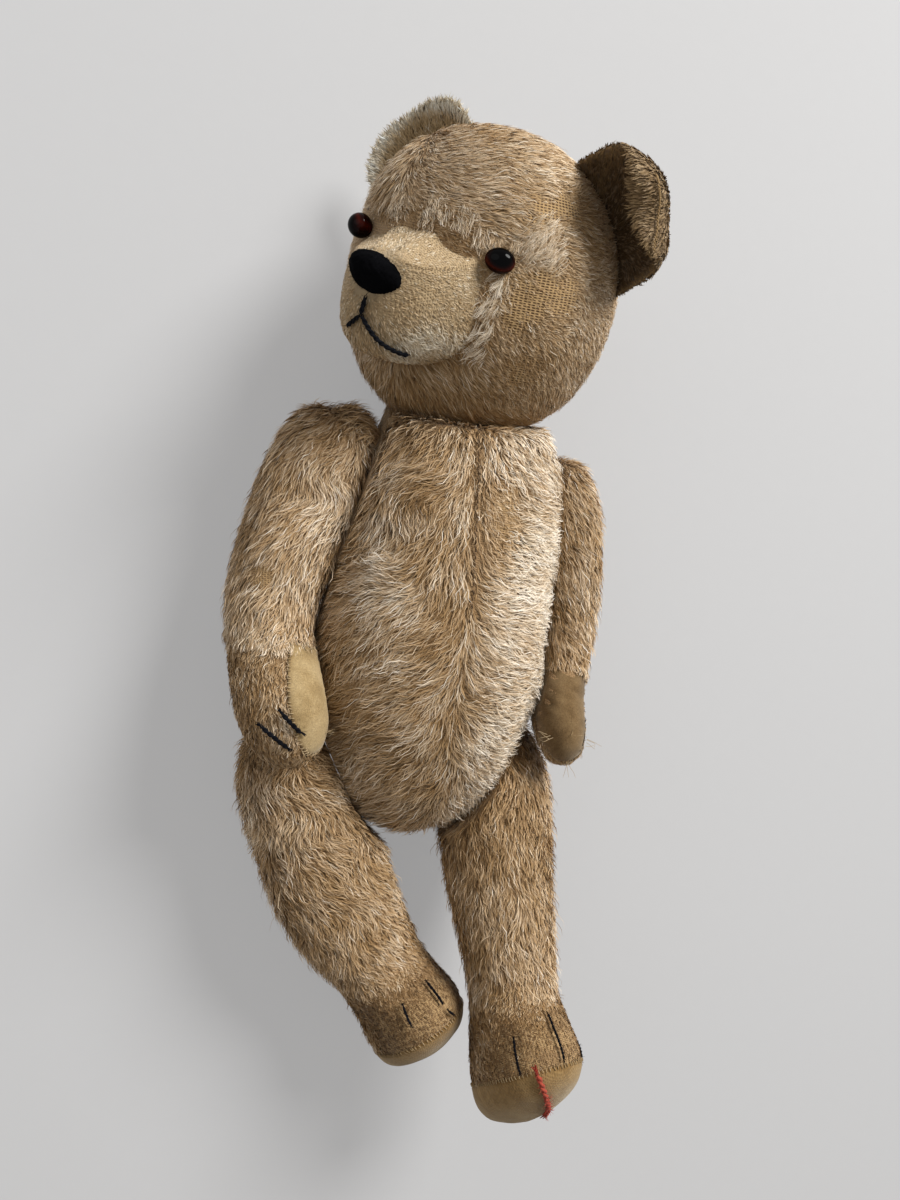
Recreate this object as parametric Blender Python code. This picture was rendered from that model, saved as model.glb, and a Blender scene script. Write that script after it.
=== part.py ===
"""Jointed soft-toy bear, lying on its back.

Bear frame: origin at the neck joint, +x to the bear's left, -y to its front, +z up the body.
A root empty lays that frame down on its back on z = 0.  Lengths are metres.
"""
import math
import bpy
import bmesh
from mathutils import Matrix, Vector
from mathutils.bvhtree import BVHTree

MM = 0.001
GAP = 0.3            # mm, clearance kept between neighbouring pieces
HALF = 0.2           # mm, half the clearance across each turning joint

# --- how the bear lies: raised a little at the rump, backs of head and body pressed flat ---------
LIE_TILT = 3.0       # deg
LIE_AT = (16.468, 129.305, 66.0)
REST_Y = 66.0        # mm, depth of the resting plane behind the neck joint

# --- body: z, centre x, half width, front depth, back depth ------------------------------------
TORSO = [(16, -2, 22, 22, 22), (13, -2, 38, 38, 36), (4, -1, 47, 45, 43), (-12, 0, 55, 51, 46),
         (-32, -1, 61, 56, 50), (-60, -2, 66, 62, 53), (-90, -3, 69, 67, 55), (-120, -6, 71, 71, 57),
         (-150, -7.5, 74, 73, 59), (-176, -8, 73, 71, 60), (-201, -8.5, 68, 66, 58),
         (-226, -8, 60, 57, 53), (-246, -8, 49, 46, 44), (-262, -7, 35, 32, 31), (-272, -6, 19, 18, 17),
         (-276, -6, 4, 4, 4)]

# --- head: centre in the bear frame, its fixed set on the neck disc, the ball radii -----------
HEAD_AT = (-7.5, -12.0, 75.5)
HEAD_AXES = ((0.665, 0.746, -0.027), (-0.703, 0.613, -0.360), (-0.252, 0.259, 0.932))
HEAD_R = (84.5, 83.5, 85.5)
NECK_AT = (-2.5, 3.0, -7.0)
NECK_AXIS = (-0.060, -0.231, 0.971)

EYE_AT = (52.0, -63.0, 18.5)
EYE_R = (8.8, 6.6, 8.8)
EYE_OUT = 2.0

# y, centre z, half width, half height
MUZZLE_X = 4.0
MUZZLE = [(-44, -6.5, 46, 39.5), (-58, -7, 45.5, 39.5), (-70, -9, 43.5, 38.5), (-83, -11.5, 38.5, 36),
          (-95, -14, 32, 32), (-104, -16.5, 24, 26), (-109.5, -18, 15, 17), (-112, -18, 3, 3.5)]
NOSE_AT = (4.5, -104.0, -1.5)
NOSE_R = (17.0, 11.0, 12.5)

# --- ears: base centre, along the base, toward the tip, half width, height, half thickness, cup,
# --- and the angle (rad) through which the outer part curls forward
EARS = {"ear_left": ((64.5, 29.0, 46.0), (0.547, 0.216, -0.808), (0.82, -0.33, 0.47), 39, 65, 5.5, 15, 2.0),
        "ear_right": ((-64.0, 14.0, 56.0), (0.80, 0.15, 0.58), (-0.35, 0.0, 0.93), 38, 35.5, 5.5, 13, 0.0)}
CURL_FROM = 0.3

# --- arms: x, y, z, depth half, across half, azimuth of the depth direction (deg) ------------
ARM_R = [(-82, 4, -17, 3, 3, 0), (-82, 4, -20.5, 18, 19, 0), (-85, 4, -33, 28, 29, 4),
         (-90, 4, -55, 32, 34, 8), (-99, 3, -88, 33, 33, 18), (-108, -3, -122, 31, 28.5, 30),
         (-110, -15, -153, 27, 25, 40), (-105, -31, -180, 27.5, 24.5, 46), (-97, -43, -203, 27, 23.5, 50),
         (-89, -50, -221, 18, 15.5, 50), (-86, -52, -227.5, 4, 4, 50)]
ARM_L = [(69, 6, -24, 3, 3, 0), (69.5, 6, -27.5, 18, 11, 0), (71, 6, -41, 27, 18, 0),
         (74.5, 6, -64, 31, 22.5, 0), (80.5, 5, -98, 31, 21.5, 0), (83, 0, -130, 28, 19, 0),
         (81, -9, -157, 25, 17, 4), (79, -20, -180, 26, 17, 8), (80, -32, -198, 23.5, 15.5, 10),
         (81.5, -40, -211, 15, 11, 10), (82.5, -43, -216, 3, 3, 10)]

# --- legs: distance down the leg, sideways and forward shift, half width, front, back, shear -----
LEG_R_AT = (-77.0, 6.0, -243.0)
LEG_R_TO = (22.0, -12.0, -404.0)
LEG_R_TOE = 20.0
LEG_R = [(-37, -2, 0, 4, 4, 4, 0), (-34, -2, 0, 18, 18, 20, 0), (-22, -3, 0, 30, 29, 31, 0),
         (0, -5, 0, 38, 36, 38, 0), (35, -10, 0, 39, 37, 37, 0), (75, -14, 0, 38.5, 35, 35, 0),
         (108, -14, 0, 35, 31, 33, 0), (138, -10, 0, 30, 30, 31, 0.05), (158, -7, 2, 29.5, 37, 33, 0.16),
         (176, -5, 4, 31.5, 42, 34, 0.28), (190, -5, 5, 31, 42, 33, 0.34), (200, -5, 5, 25, 36, 28, 0.36),
         (206, -5, 5, 12, 20, 14, 0.36), (208, -5, 5, 3, 4, 4, 0.36)]
LEG_L_AT = (50.0, 6.0, -238.0)
LEG_L_TO = (78.5, -59.0, -396.0)
LEG_L_TOE = 14.0
LEG_L = [(-40, -2, 0, 4, 4, 4, 0), (-37, -2, 0, 18, 18, 20, 0), (-25, -2, 0, 30, 30, 32, 0),
         (0, -2, 0, 38, 37, 38, 0), (35, -3, 0, 37, 38, 37, 0), (72, -5, 0, 34, 34, 34, 0),
         (110, -5, 0, 30, 30, 31, 0), (138, -6, 0, 28, 29, 29, 0.05), (158, -7, 2, 29.5, 37, 32, 0.16),
         (176, -8, 4, 31.5, 43, 34, 0.28), (190, -8, 5, 31, 44, 34, 0.34), (201, -8, 5, 25, 37, 28, 0.36),
         (208, -8, 5, 12, 20, 14, 0.36), (210, -8, 5, 3, 4, 4, 0.36)]

# --- joints: centre, axis outward from the body, disc radius ------------------------------------
JOINTS = {"neck": (NECK_AT, NECK_AXIS, 30.0),
          "shoulder_right": ((-62.5, 4.0, -50.0), (-0.9781, 0.0, 0.2079), 14.5),
          "shoulder_left": ((60.5, 4.0, -55.0), (0.9962, 0.0, 0.0872), 14.5),
          "hip_right": ((-61.2, 4.0, -232.0), (-0.8660, 0.0, -0.5000), 19.0),
          "hip_left": ((44.4, 4.0, -232.0), (0.8829, 0.0, -0.4695), 19.0)}
WALL = 3.0           # mm of cloth and stuffing between a joint face and its disc
POCKET = 8.0         # mm, depth of the pocket that holds a disc
DISC = 2.5
WASHER = 1.0
PIN_R = 1.6

# --- faces the limbs keep clear of the body: radius, height about the joint axis ------------------
SWEEP_R = [(0, 0.2), (60, 0.2), (90, -0.8), (105, -2), (120, -5.5), (130, -8.5), (140, -12.5), (150, -17),
           (160, -22.5), (170, -29), (180, -37), (190, -46), (205, -62), (240, -90), (0, -90)]
SWEEP_L = [(0, 0.2), (60, 0.2), (90, -0.8), (105, -1.8), (120, -5), (140, -11), (160, -19.5),
           (180, -31), (205, -50), (240, -72), (0, -72)]
HIP_SWEEP = [(0, 0.2), (42, 0.2), (50, -1.5), (60, -4.5), (75, -13), (100, -33), (130, -60), (0, -60)]

# --- pads: a point of the seam plane, its outward normal, the wrist seam ---------------------------
PAW_R = ((-93.5, -47.0, -162.0), (0.774, -0.538, 0.347), (-0.210, 0.449, 0.869), (-97, -48, -158))
PAW_L = ((80.0, -26.0, -180.0), (-0.178, -0.855, 0.487), (0.030, 0.490, 0.870), (75, -33, -156))
SOLE_R = (187.0, 0.22)
SOLE_L = (184.0, 0.22)

# --- threads: radius and points on the surface (face threads in the head frame) --------------------
FACE_THREADS = {"mouth_thread_centre": (1.5, [(6.5, -112, -14.5), (6.5, -112, -17.5), (5.2, -112, -21.5)]),
                "mouth_thread_right": (1.5, [(3, -112, -24.5), (0, -111, -27), (-4, -110, -30)]),
                "mouth_thread_left": (1.5, [(8, -112, -25), (11, -111, -28), (17, -108, -33), (23, -103, -36),
                                            (28, -97, -37)])}
LIMB_THREADS = {
    "claw_thread_arm_right_1": ("arm_right", 1.3, [(-111, -61, -203), (-102, -65, -209), (-92, -66, -215)]),
    "claw_thread_arm_right_2": ("arm_right", 1.3, [(-101, -66, -194), (-94, -67, -200), (-86, -65, -207)]),
    "claw_thread_arm_left": ("arm_left", 1.1, [(91, -34, -190), (93, -39, -198), (91, -44, -206)]),
    "claw_thread_leg_right_1": ("leg_right", 0.8, [(11, -43, -361), (15, -47, -364), (19, -51, -368)]),
    "claw_thread_leg_right_2": ("leg_right", 0.8, [(24, -53, -373), (26, -53, -374.5), (28, -52, -376)]),
    "claw_thread_leg_right_3": ("leg_right", 0.8, [(-3, -48, -372), (-1, -51, -376), (3, -54, -381)]),
    "claw_thread_leg_left_1": ("leg_left", 0.8, [(55, -89, -370), (55, -96, -376), (57, -101, -383)]),
    "claw_thread_leg_left_2": ("leg_left", 0.8, [(76, -83, -359), (78, -95, -366), (80, -103, -375)]),
    "claw_thread_leg_left_3": ("leg_left", 0.8, [(98, -81, -376), (99, -84, -380), (100, -87, -385)]),
    "mending_thread_red": ("leg_left", 1.3, [(64, -106, -380), (68, -106, -386), (74, -102, -397),
                                             (79, -95, -407), (81, -86, -417)])}

# --- colours: body cloth, pale pile, felt, dark thread, red thread, glass, board, steel --------------
TINTS = {"pile": ((0.42, 0.31, 0.20, 1), 0.95, 0.0), "pale": ((0.52, 0.42, 0.28, 1), 0.95, 0.0),
         "felt": ((0.45, 0.33, 0.15, 1), 0.95, 0.0), "thread": ((0.012, 0.014, 0.02, 1), 0.8, 0.0),
         "red": ((0.35, 0.06, 0.04, 1), 0.85, 0.0), "glass": ((0.06, 0.012, 0.006, 1), 0.06, 0.0),
         "board": ((0.22, 0.14, 0.08, 1), 0.85, 0.0), "steel": ((0.45, 0.44, 0.42, 1), 0.4, 1.0)}


def clear():
    for ob in list(bpy.data.objects):
        bpy.data.objects.remove(ob)


def ease(t, a, b, c, d):
    """Catmull-Rom value between b and c."""
    return 0.5 * (2 * b + (c - a) * t + (2 * a - 5 * b + 4 * c - d) * t * t + (3 * b - a - 3 * c + d) * t ** 3)


def refine(rows, per):
    """Smoothly interpolated copies of the station rows, `per` steps between neighbours."""
    out = []
    n = len(rows)
    for i in range(n - 1):
        a, b, c, d = rows[max(0, i - 1)], rows[i], rows[i + 1], rows[min(n - 1, i + 2)]
        for k in range(per):
            t = k / per
            out.append(tuple(ease(t, a[j], b[j], c[j], d[j]) for j in range(len(b))))
    out.append(tuple(float(v) for v in rows[-1]))
    return out


def skin(name, rings):
    """Closed body through rings of points (millimetres), with a pole at each end."""
    bm = bmesh.new()
    loops = [[bm.verts.new(p * MM) for p in ring] for ring in rings]
    n = len(loops[0])
    for a, b in zip(loops, loops[1:]):
        for i in range(n):
            j = (i + 1) % n
            bm.faces.new((a[i], a[j], b[j], b[i]))
    for loop in (loops[0], loops[-1]):
        mid = Vector((0, 0, 0))
        for v in loop:
            mid += v.co
        tip = bm.verts.new(mid / n)
        for i in range(n):
            bm.faces.new((loop[i], loop[(i + 1) % n], tip))
    bmesh.ops.recalc_face_normals(bm, faces=bm.faces)
    bmesh.ops.triangulate(bm, faces=bm.faces)
    me = bpy.data.meshes.new(name)
    bm.to_mesh(me)
    bm.free()
    return bpy.data.objects.new(name, me)


def oval(n, power=2.0):
    """Unit superellipse directions."""
    out = []
    for i in range(n):
        a = 2 * math.pi * (i + 0.5) / n
        c, s = math.cos(a), math.sin(a)
        e = 2.0 / power
        out.append((math.copysign(abs(c) ** e, c), math.copysign(abs(s) ** e, s)))
    return out


def torso_body(grow=0.0):
    rings = []
    for z, cx, w, f, b in refine(TORSO, 2):
        ring = []
        for c, s in oval(26, 2.15):
            d = f if s < 0 else b
            ring.append(Vector((cx + c * (w + grow), s * (d + grow), z)))
        rings.append(ring)
    return skin("torso", rings)


def head_point(direction, grow=0.0):
    """Point of the head ball along a direction, with shallow eye sockets and fuller cheeks."""
    d = Vector(direction).normalized()
    r = 1.0 / math.sqrt(sum((d[i] / (HEAD_R[i] + grow)) ** 2 for i in range(3)))
    for side in (-1, 1):
        e = Vector((side * EYE_AT[0], EYE_AT[1], EYE_AT[2])).normalized()
        r -= 3.0 * math.exp(-((d - e).length / 0.22) ** 2)
        k = Vector((side * 0.62, -0.10, -0.72)).normalized()
        r += 9.0 * math.exp(-((d - k).length / 0.6) ** 2)
        k = Vector((side * 0.42, -0.50, 0.72)).normalized()
        r += 3.5 * math.exp(-((d - k).length / 0.45) ** 2)
    k = Vector((0.0, -0.66, -0.75)).normalized()
    r += 11.0 * math.exp(-((d - k).length / 0.45) ** 2)
    return d * r


def head_body(grow=0.0, sides=32, rows=20):
    rings = []
    for i in range(rows):
        pol = math.pi * (i + 0.6) / (rows + 0.2)
        ring = []
        for k in range(sides):
            a = 2 * math.pi * k / sides
            d = (math.sin(pol) * math.cos(a), math.sin(pol) * math.sin(a), math.cos(pol))
            ring.append(head_point(d, grow))
        rings.append(ring)
    return skin("head", rings)


def muzzle_body(grow=0.0):
    rings = []
    for y, cz, w, h in refine(MUZZLE, 2):
        rings.append([Vector((MUZZLE_X + c * (w + grow), y - grow, cz + k * (h + grow)))
                      for c, k in oval(26, 2.5)])
    return skin("muzzle", rings)


def limb_body(name, rows, grow=0.0, sides=20):
    """Arm form: rings square to a curved spine, their depth direction turning with the azimuth."""
    fine = refine(rows, 2)
    rings = []
    for i, (x, y, z, d, w, az) in enumerate(fine):
        p0, p1 = fine[max(0, i - 1)], fine[min(len(fine) - 1, i + 1)]
        t = Vector((p1[0] - p0[0], p1[1] - p0[1], p1[2] - p0[2])).normalized()
        side = 1 if x > 0 else -1
        a = math.radians(az)
        n = Vector((-side * math.sin(a), -math.cos(a), 0))
        n = (n - t * n.dot(t)).normalized()
        b = t.cross(n)
        c0 = Vector((x, y, z))
        rings.append([c0 + n * (c * (d + grow)) + b * (s * (w + grow)) for c, s in oval(sides, 2.15)])
    return skin(name, rings)


def leg_frame(at, to, toe):
    """Down the leg, toward the toe and across, in the bear frame."""
    down = (Vector(to) - Vector(at)).normalized()
    a = math.radians(toe)
    fwd = Vector((math.sin(a), -math.cos(a), 0))
    fwd = (fwd - down * fwd.dot(down)).normalized()
    return down, fwd, fwd.cross(down)


def leg_body(name, at, to, toe, rows, grow=0.0, sides=22):
    down, fwd, lat = leg_frame(at, to, toe)
    rings = []
    for s, dx, dy, w, f, b, shear in refine(rows, 2):
        ring = []
        for c, k in oval(sides, 2.15):
            y = dy + k * ((f if k > 0 else b) + grow)
            x = dx + c * (w + grow)
            ring.append(Vector(at) + down * (s - shear * y) + fwd * y + lat * x)
        rings.append(ring)
    return skin(name, rings)


def frame_at(at, axis):
    """Matrix (millimetres) whose +z runs along the axis."""
    q = Vector((0, 0, 1)).rotation_difference(Vector(axis).normalized())
    return Matrix.Translation(Vector(at)) @ q.to_matrix().to_4x4()


def turned(name, at, axis, profile, segs=24, ring=False, phase=0.0):
    """Body of revolution about the axis from (radius, height) pairs; `ring` closes it on itself."""
    m = frame_at(at, axis)
    bm = bmesh.new()
    loops = []
    for r, h in profile:
        if r <= 0:
            loops.append([bm.verts.new(m @ Vector((0, 0, h)) * MM)])
            continue
        loop = []
        for i in range(segs):
            a = 2 * math.pi * (i + phase) / segs
            loop.append(bm.verts.new(m @ Vector((r * math.cos(a), r * math.sin(a), h)) * MM))
        loops.append(loop)
    pairs = list(zip(loops, loops[1:]))
    if ring:
        pairs.append((loops[-1], loops[0]))
    for a, b in pairs:
        for i in range(segs):
            j = (i + 1) % segs
            if len(a) == 1:
                bm.faces.new((a[0], b[i], b[j]))
            elif len(b) == 1:
                bm.faces.new((a[i], b[0], a[j]))
            else:
                bm.faces.new((a[i], a[j], b[j], b[i]))
    bmesh.ops.recalc_face_normals(bm, faces=bm.faces)
    me = bpy.data.meshes.new(name)
    bm.to_mesh(me)
    bm.free()
    return bpy.data.objects.new(name, me)


def ellipsoid(name, at, radii, turn=None, segs=20, rings=12):
    bm = bmesh.new()
    bmesh.ops.create_uvsphere(bm, u_segments=segs, v_segments=rings, radius=1.0)
    m = Matrix.Diagonal((radii[0] * MM, radii[1] * MM, radii[2] * MM, 1.0))
    if turn is not None:
        m = turn.to_4x4() @ m
    m = Matrix.Translation(Vector(at) * MM) @ m
    bmesh.ops.transform(bm, matrix=m, verts=bm.verts)
    me = bpy.data.meshes.new(name)
    bm.to_mesh(me)
    bm.free()
    return bpy.data.objects.new(name, me)


def ear_body(name, grow=0.0):
    """A cupped half disc: a flattened ball bent forward at its ends, its lower half in the head."""
    at, along, tip, hw, hh, ht, cup, curl = EARS[name]
    w = Vector(along).normalized()
    u = Vector(tip)
    u = (u - w * u.dot(w)).normalized()
    n = w.cross(u)
    if n.y > 0:
        n = -n
    bm = bmesh.new()
    bmesh.ops.create_uvsphere(bm, u_segments=24, v_segments=14, radius=1.0)
    for v in bm.verts:
        x, y, z = v.co
        flat = math.hypot(x, z)
        if flat > 0.01:
            k = flat / (abs(x) ** 2.5 + abs(z) ** 2.5) ** 0.4
            k = 1.0 + (k - 1.0) * flat
            x, z = x * k, z * k
        high, fore, a = z * (hh + grow), cup * (x * x + 0.35 * max(0.0, z) ** 2), 0.0
        if curl and z > CURL_FROM:
            a = curl * (z - CURL_FROM) / (1 - CURL_FROM)
            bend = (1 - CURL_FROM) * (hh + grow) / curl
            high = CURL_FROM * (hh + grow) + bend * math.sin(a)
            fore = cup * (x * x + 0.35 * CURL_FROM ** 2) + bend * (1 - math.cos(a))
        lean = n * math.cos(a) - u * math.sin(a)
        v.co = (Vector(at) + w * (x * (hw + grow)) + u * high + n * fore + lean * (y * (ht + grow))) * MM
    me = bpy.data.meshes.new(name)
    bmesh.ops.recalc_face_normals(bm, faces=bm.faces)
    bmesh.ops.triangulate(bm, faces=bm.faces)
    bm.to_mesh(me)
    bm.free()
    return bpy.data.objects.new(name, me)


def surface(ob):
    bm = bmesh.new()
    bm.from_mesh(ob.data)
    bmesh.ops.triangulate(bm, faces=bm.faces)
    tree = BVHTree.FromBMesh(bm)
    bm.free()
    return tree


def thread(name, tree, points, radius, lift=0.3, sides=6, steps=3):
    """Round thread laid on a surface along the points (millimetres), thinner toward its ends."""
    path = refine([tuple(p) for p in points], steps)
    last = len(path) - 1
    laid = []
    for p in path:
        co, no, _, _ = tree.find_nearest(Vector(p) * MM)
        laid.append(((co / MM) + no * (radius + lift), no))
    rings = []
    for i, (c, no) in enumerate(laid):
        t = (laid[min(last, i + 1)][0] - laid[max(0, i - 1)][0]).normalized()
        b = t.cross(no).normalized()
        n = b.cross(t)
        r = radius * (0.55 if i in (0, last) else 1.0)
        ring = []
        for k in range(sides):
            a = 2 * math.pi * k / sides
            ring.append(c + n * (r * math.sin(a)) + b * (r * math.cos(a)))
        rings.append(ring)
    return skin(name, rings)


def slab(name, at, out, up, seam, shrink=0.0):
    """Box beyond a seam plane and below the wrist seam; `shrink` pulls its two faces back."""
    n = Vector(out).normalized()
    u = Vector(up)
    u = (u - n * u.dot(n)).normalized()
    w = n.cross(u)
    c = Vector(at)
    top = (Vector(seam) - c).dot(u) - shrink
    lo = shrink
    bm = bmesh.new()
    vs = []
    for a in (lo, 60.0):
        for b in (top, -90.0):
            for k in (-60.0, 60.0):
                vs.append(bm.verts.new((c + n * a + u * b + w * k) * MM))
    for f in ((0, 1, 3, 2), (4, 6, 7, 5), (0, 4, 5, 1), (2, 3, 7, 6), (0, 2, 6, 4), (1, 5, 7, 3)):
        bm.faces.new([vs[i] for i in f])
    bmesh.ops.recalc_face_normals(bm, faces=bm.faces)
    me = bpy.data.meshes.new(name)
    bm.to_mesh(me)
    bm.free()
    return bpy.data.objects.new(name, me)


def material(ob, tint):
    col, rough, metal = TINTS[tint]
    m = bpy.data.materials.new("mat_" + ob.name)
    m.use_nodes = True
    b = m.node_tree.nodes["Principled BSDF"]
    b.inputs["Base Color"].default_value = col
    b.inputs["Roughness"].default_value = rough
    b.inputs["Metallic"].default_value = metal
    m.diffuse_color = col
    ob.data.materials.append(m)


def main():
    clear()
    col = bpy.data.collections.new("threadbare_bear")
    cuts = bpy.data.collections.new("cutters")
    bpy.context.scene.collection.children.link(col)
    bpy.context.scene.collection.children.link(cuts)
    root = bpy.data.objects.new("bear_root", None)
    root.matrix_world = (Matrix.Translation(Vector(LIE_AT) * MM)
                         @ Matrix.Rotation(math.radians(-90.0 + LIE_TILT), 4, "X"))
    col.objects.link(root)
    head_m = Matrix(HEAD_AXES).to_4x4()
    head_m.translation = Vector(HEAD_AT) * MM

    def piece(ob, tint, joint=None, in_head=False):
        if in_head:
            ob.data.transform(head_m)
        if joint:
            at = Vector(JOINTS[joint][0]) * MM
            ob.data.transform(Matrix.Translation(-at))
            ob.location = at
        ob.parent = root
        material(ob, tint)
        col.objects.link(ob)
        return ob

    def cutter(ob, in_head=False):
        if in_head:
            ob.data.transform(head_m)
        ob.parent = root
        ob.display_type = "WIRE"
        ob.hide_render = True
        cuts.objects.link(ob)
        return ob

    def cut(ob, tool):
        m = ob.modifiers.new(tool.name, "BOOLEAN")
        m.operation = "DIFFERENCE"
        m.solver = "EXACT"
        m.object = tool

    def keep(ob, tool):
        m = ob.modifiers.new(tool.name, "BOOLEAN")
        m.operation = "INTERSECT"
        m.solver = "EXACT"
        m.object = tool

    # soft pieces
    torso = piece(torso_body(), "pile")
    head = piece(head_body(), "pile", "neck", True)
    muzzle = piece(muzzle_body(), "pale", "neck", True)
    face = surface(muzzle_body())
    ball = cutter(head_body(GAP + 0.1), True)
    ball.name = "cut_head_ball"
    snout = cutter(muzzle_body(GAP), True)
    snout.name = "cut_muzzle"
    cut(muzzle, ball)
    for side, nm in ((-1, "eye_right"), (1, "eye_left")):
        d = Vector((side * EYE_AT[0], EYE_AT[1], EYE_AT[2])).normalized()
        q = Vector((0, -1, 0)).rotation_difference(d).to_matrix()
        eye = piece(ellipsoid(nm, head_point(d) + d * EYE_OUT, EYE_R, q), "glass", "neck", True)
        cut(eye, ball)
        cut(eye, snout)
    nose = piece(ellipsoid("nose_thread", NOSE_AT, NOSE_R), "thread", "neck", True)
    cut(nose, snout)
    for nm in EARS:
        cut(piece(ear_body(nm), "pile", "neck", True), ball)
    for nm, (r, pts) in FACE_THREADS.items():
        piece(thread(nm, face, pts, r), "thread", "neck", True)

    limbs = {}
    forms = {"arm_right": lambda n: limb_body(n, ARM_R), "arm_left": lambda n: limb_body(n, ARM_L),
             "leg_right": lambda n: leg_body(n, LEG_R_AT, LEG_R_TO, LEG_R_TOE, LEG_R),
             "leg_left": lambda n: leg_body(n, LEG_L_AT, LEG_L_TO, LEG_L_TOE, LEG_L)}
    joint_of = {"arm_right": "shoulder_right", "arm_left": "shoulder_left",
                "leg_right": "hip_right", "leg_left": "hip_left"}
    pads = {"arm_right": PAW_R, "arm_left": PAW_L}
    for nm, sole in (("leg_right", SOLE_R), ("leg_left", SOLE_L)):
        at, to, toe = (LEG_R_AT, LEG_R_TO, LEG_R_TOE) if nm == "leg_right" else (LEG_L_AT, LEG_L_TO, LEG_L_TOE)
        down, fwd, lat = leg_frame(at, to, toe)
        seam = Vector(at) + down * sole[0]
        pads[nm] = (seam, (down + fwd * sole[1]), fwd, seam + fwd * 90)
    for nm, form in forms.items():
        joint = joint_of[nm]
        limb = piece(form(nm), "pile", joint)
        limbs[nm] = limb
        at, axis, _ = JOINTS[joint]
        sweep = HIP_SWEEP if "leg" in nm else SWEEP_L if "left" in nm else SWEEP_R
        cut(limb, cutter(turned("cut_sweep_" + nm, at, axis, sweep, 40)))
        cut(limb, cutter(slab("cut_pad_" + nm, *pads[nm])))
        pad = piece(form("paw_pad" + nm[3:] if "arm" in nm else "foot_pad" + nm[3:]), "felt", joint)
        if "arm" in nm:
            cut(pad, bpy.data.objects["cut_sweep_" + nm])
        keep(pad, cutter(slab("keep_pad_" + nm, *pads[nm], shrink=GAP)))
    trees = {nm: surface(form("probe_" + nm)) for nm, form in forms.items()}
    for nm, (limb, r, pts) in LIMB_THREADS.items():
        tint = "red" if "red" in nm else "thread"
        piece(thread(nm, trees[limb], pts, r), tint, joint_of[limb])

    # joint faces, pockets and hardware
    outer = {"neck": head}
    for nm in limbs:
        outer[joint_of[nm]] = limbs[nm]
    for joint, (at, axis, disc) in JOINTS.items():
        far = 60 if joint == "neck" else 40
        wide = 110 if joint == "neck" else 90
        face_up = [(0, -HALF), (wide, -HALF), (wide, far), (0, far)]
        cut(torso, cutter(turned("cut_face_" + joint, at, axis, face_up, 40)))
        if joint == "neck":
            face_down = [(0, HALF), (wide, HALF), (wide, -far), (0, -far)]
            cut(head, cutter(turned("cut_face_head", at, axis, face_down, 40)))
        a = HALF + WALL
        for side, ob in ((-1, torso), (1, outer[joint])):
            pocket = [(0, -side), (2.2, -side), (2.2, side * a), (disc + 1, side * a),
                      (disc + 1, side * (a + POCKET)), (0, side * (a + POCKET))]
            way = "_in" if side < 0 else "_out"
            cut(ob, cutter(turned("cut_pocket_" + joint + way, at, axis, pocket, 16, phase=0.37)))
            tag = joint + ("_body" if side < 0 else "_limb")
            own = None if side < 0 else joint
            b = a + GAP
            ring = [(2.3, side * b), (disc, side * b), (disc, side * (b + DISC)), (2.3, side * (b + DISC))]
            piece(turned("disc_" + tag, at, axis, ring, 16, True), "board", own)
            c = b + DISC + GAP
            ring = [(2.1, side * c), (8, side * c), (8, side * (c + WASHER)), (2.1, side * (c + WASHER))]
            piece(turned("washer_" + tag, at, axis, ring, 10, True), "steel", own)
        h = a + 2 * GAP + DISC + WASHER + GAP
        pin = [(0, -h - 1.8), (4, -h - 1.8), (4, -h), (PIN_R, -h), (PIN_R, h), (4, h), (4, h + 1.8), (0, h + 1.8)]
        piece(turned("pin_" + joint, at, axis, pin, 8), "steel")

    # where the bear rests
    lie = Matrix.Rotation(math.radians(-90.0 + LIE_TILT), 3, "X").transposed()
    back = lie @ Vector((0, 0, -1))
    foot = [(0, 0), (450, 0), (450, 60), (0, 60)]
    rest = cutter(turned("cut_rest", back * REST_Y, back, foot, 8))
    cut(torso, rest)
    cut(head, rest)


main()
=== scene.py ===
"""Threadbare mohair bear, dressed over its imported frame.

Working lengths are millimetres in the bear frame: origin at the neck joint, +x to the bear's left,
-y to its front, +z up the body.  `laid` puts that frame down on its back, in metres.
"""
import itertools
import math
import bpy
import bmesh
import numpy as np
from mathutils import Matrix, Vector
from mathutils.bvhtree import BVHTree


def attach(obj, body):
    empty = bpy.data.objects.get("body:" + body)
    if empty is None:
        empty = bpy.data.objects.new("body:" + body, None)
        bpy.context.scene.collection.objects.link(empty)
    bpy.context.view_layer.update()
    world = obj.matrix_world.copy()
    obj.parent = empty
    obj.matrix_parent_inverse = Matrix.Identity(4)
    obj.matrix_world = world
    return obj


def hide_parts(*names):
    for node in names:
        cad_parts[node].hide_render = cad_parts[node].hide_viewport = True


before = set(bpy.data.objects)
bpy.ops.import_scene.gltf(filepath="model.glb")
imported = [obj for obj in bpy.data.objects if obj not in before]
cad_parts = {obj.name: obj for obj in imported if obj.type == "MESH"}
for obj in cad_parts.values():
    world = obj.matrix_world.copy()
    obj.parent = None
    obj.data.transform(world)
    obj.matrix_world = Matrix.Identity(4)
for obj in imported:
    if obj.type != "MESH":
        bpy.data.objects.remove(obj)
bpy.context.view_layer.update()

MM = 0.001
CLOTH_UNIT = 0.01                  # millimetres of cloth to units of its map
GROUND_GAP = 0.25 * MM
SKIN_GAP = 0.4                     # between a woven backing and a joint face
PILE_GAP = -0.12                   # the tips of a limb's pile may reach this far past its joint face
UP = np.array((0.0, 0.0, 1.0))

# --- how the bear lies --------------------------------------------------------------------------
LIE_TILT = 3.0
LIE_AT = (16.468, 129.305, 66.0)
LIE = Matrix.Translation(Vector(LIE_AT) * MM) @ Matrix.Rotation(math.radians(-90.0 + LIE_TILT), 4, "X")
LIE_TURN = np.array(LIE.to_3x3())

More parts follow.
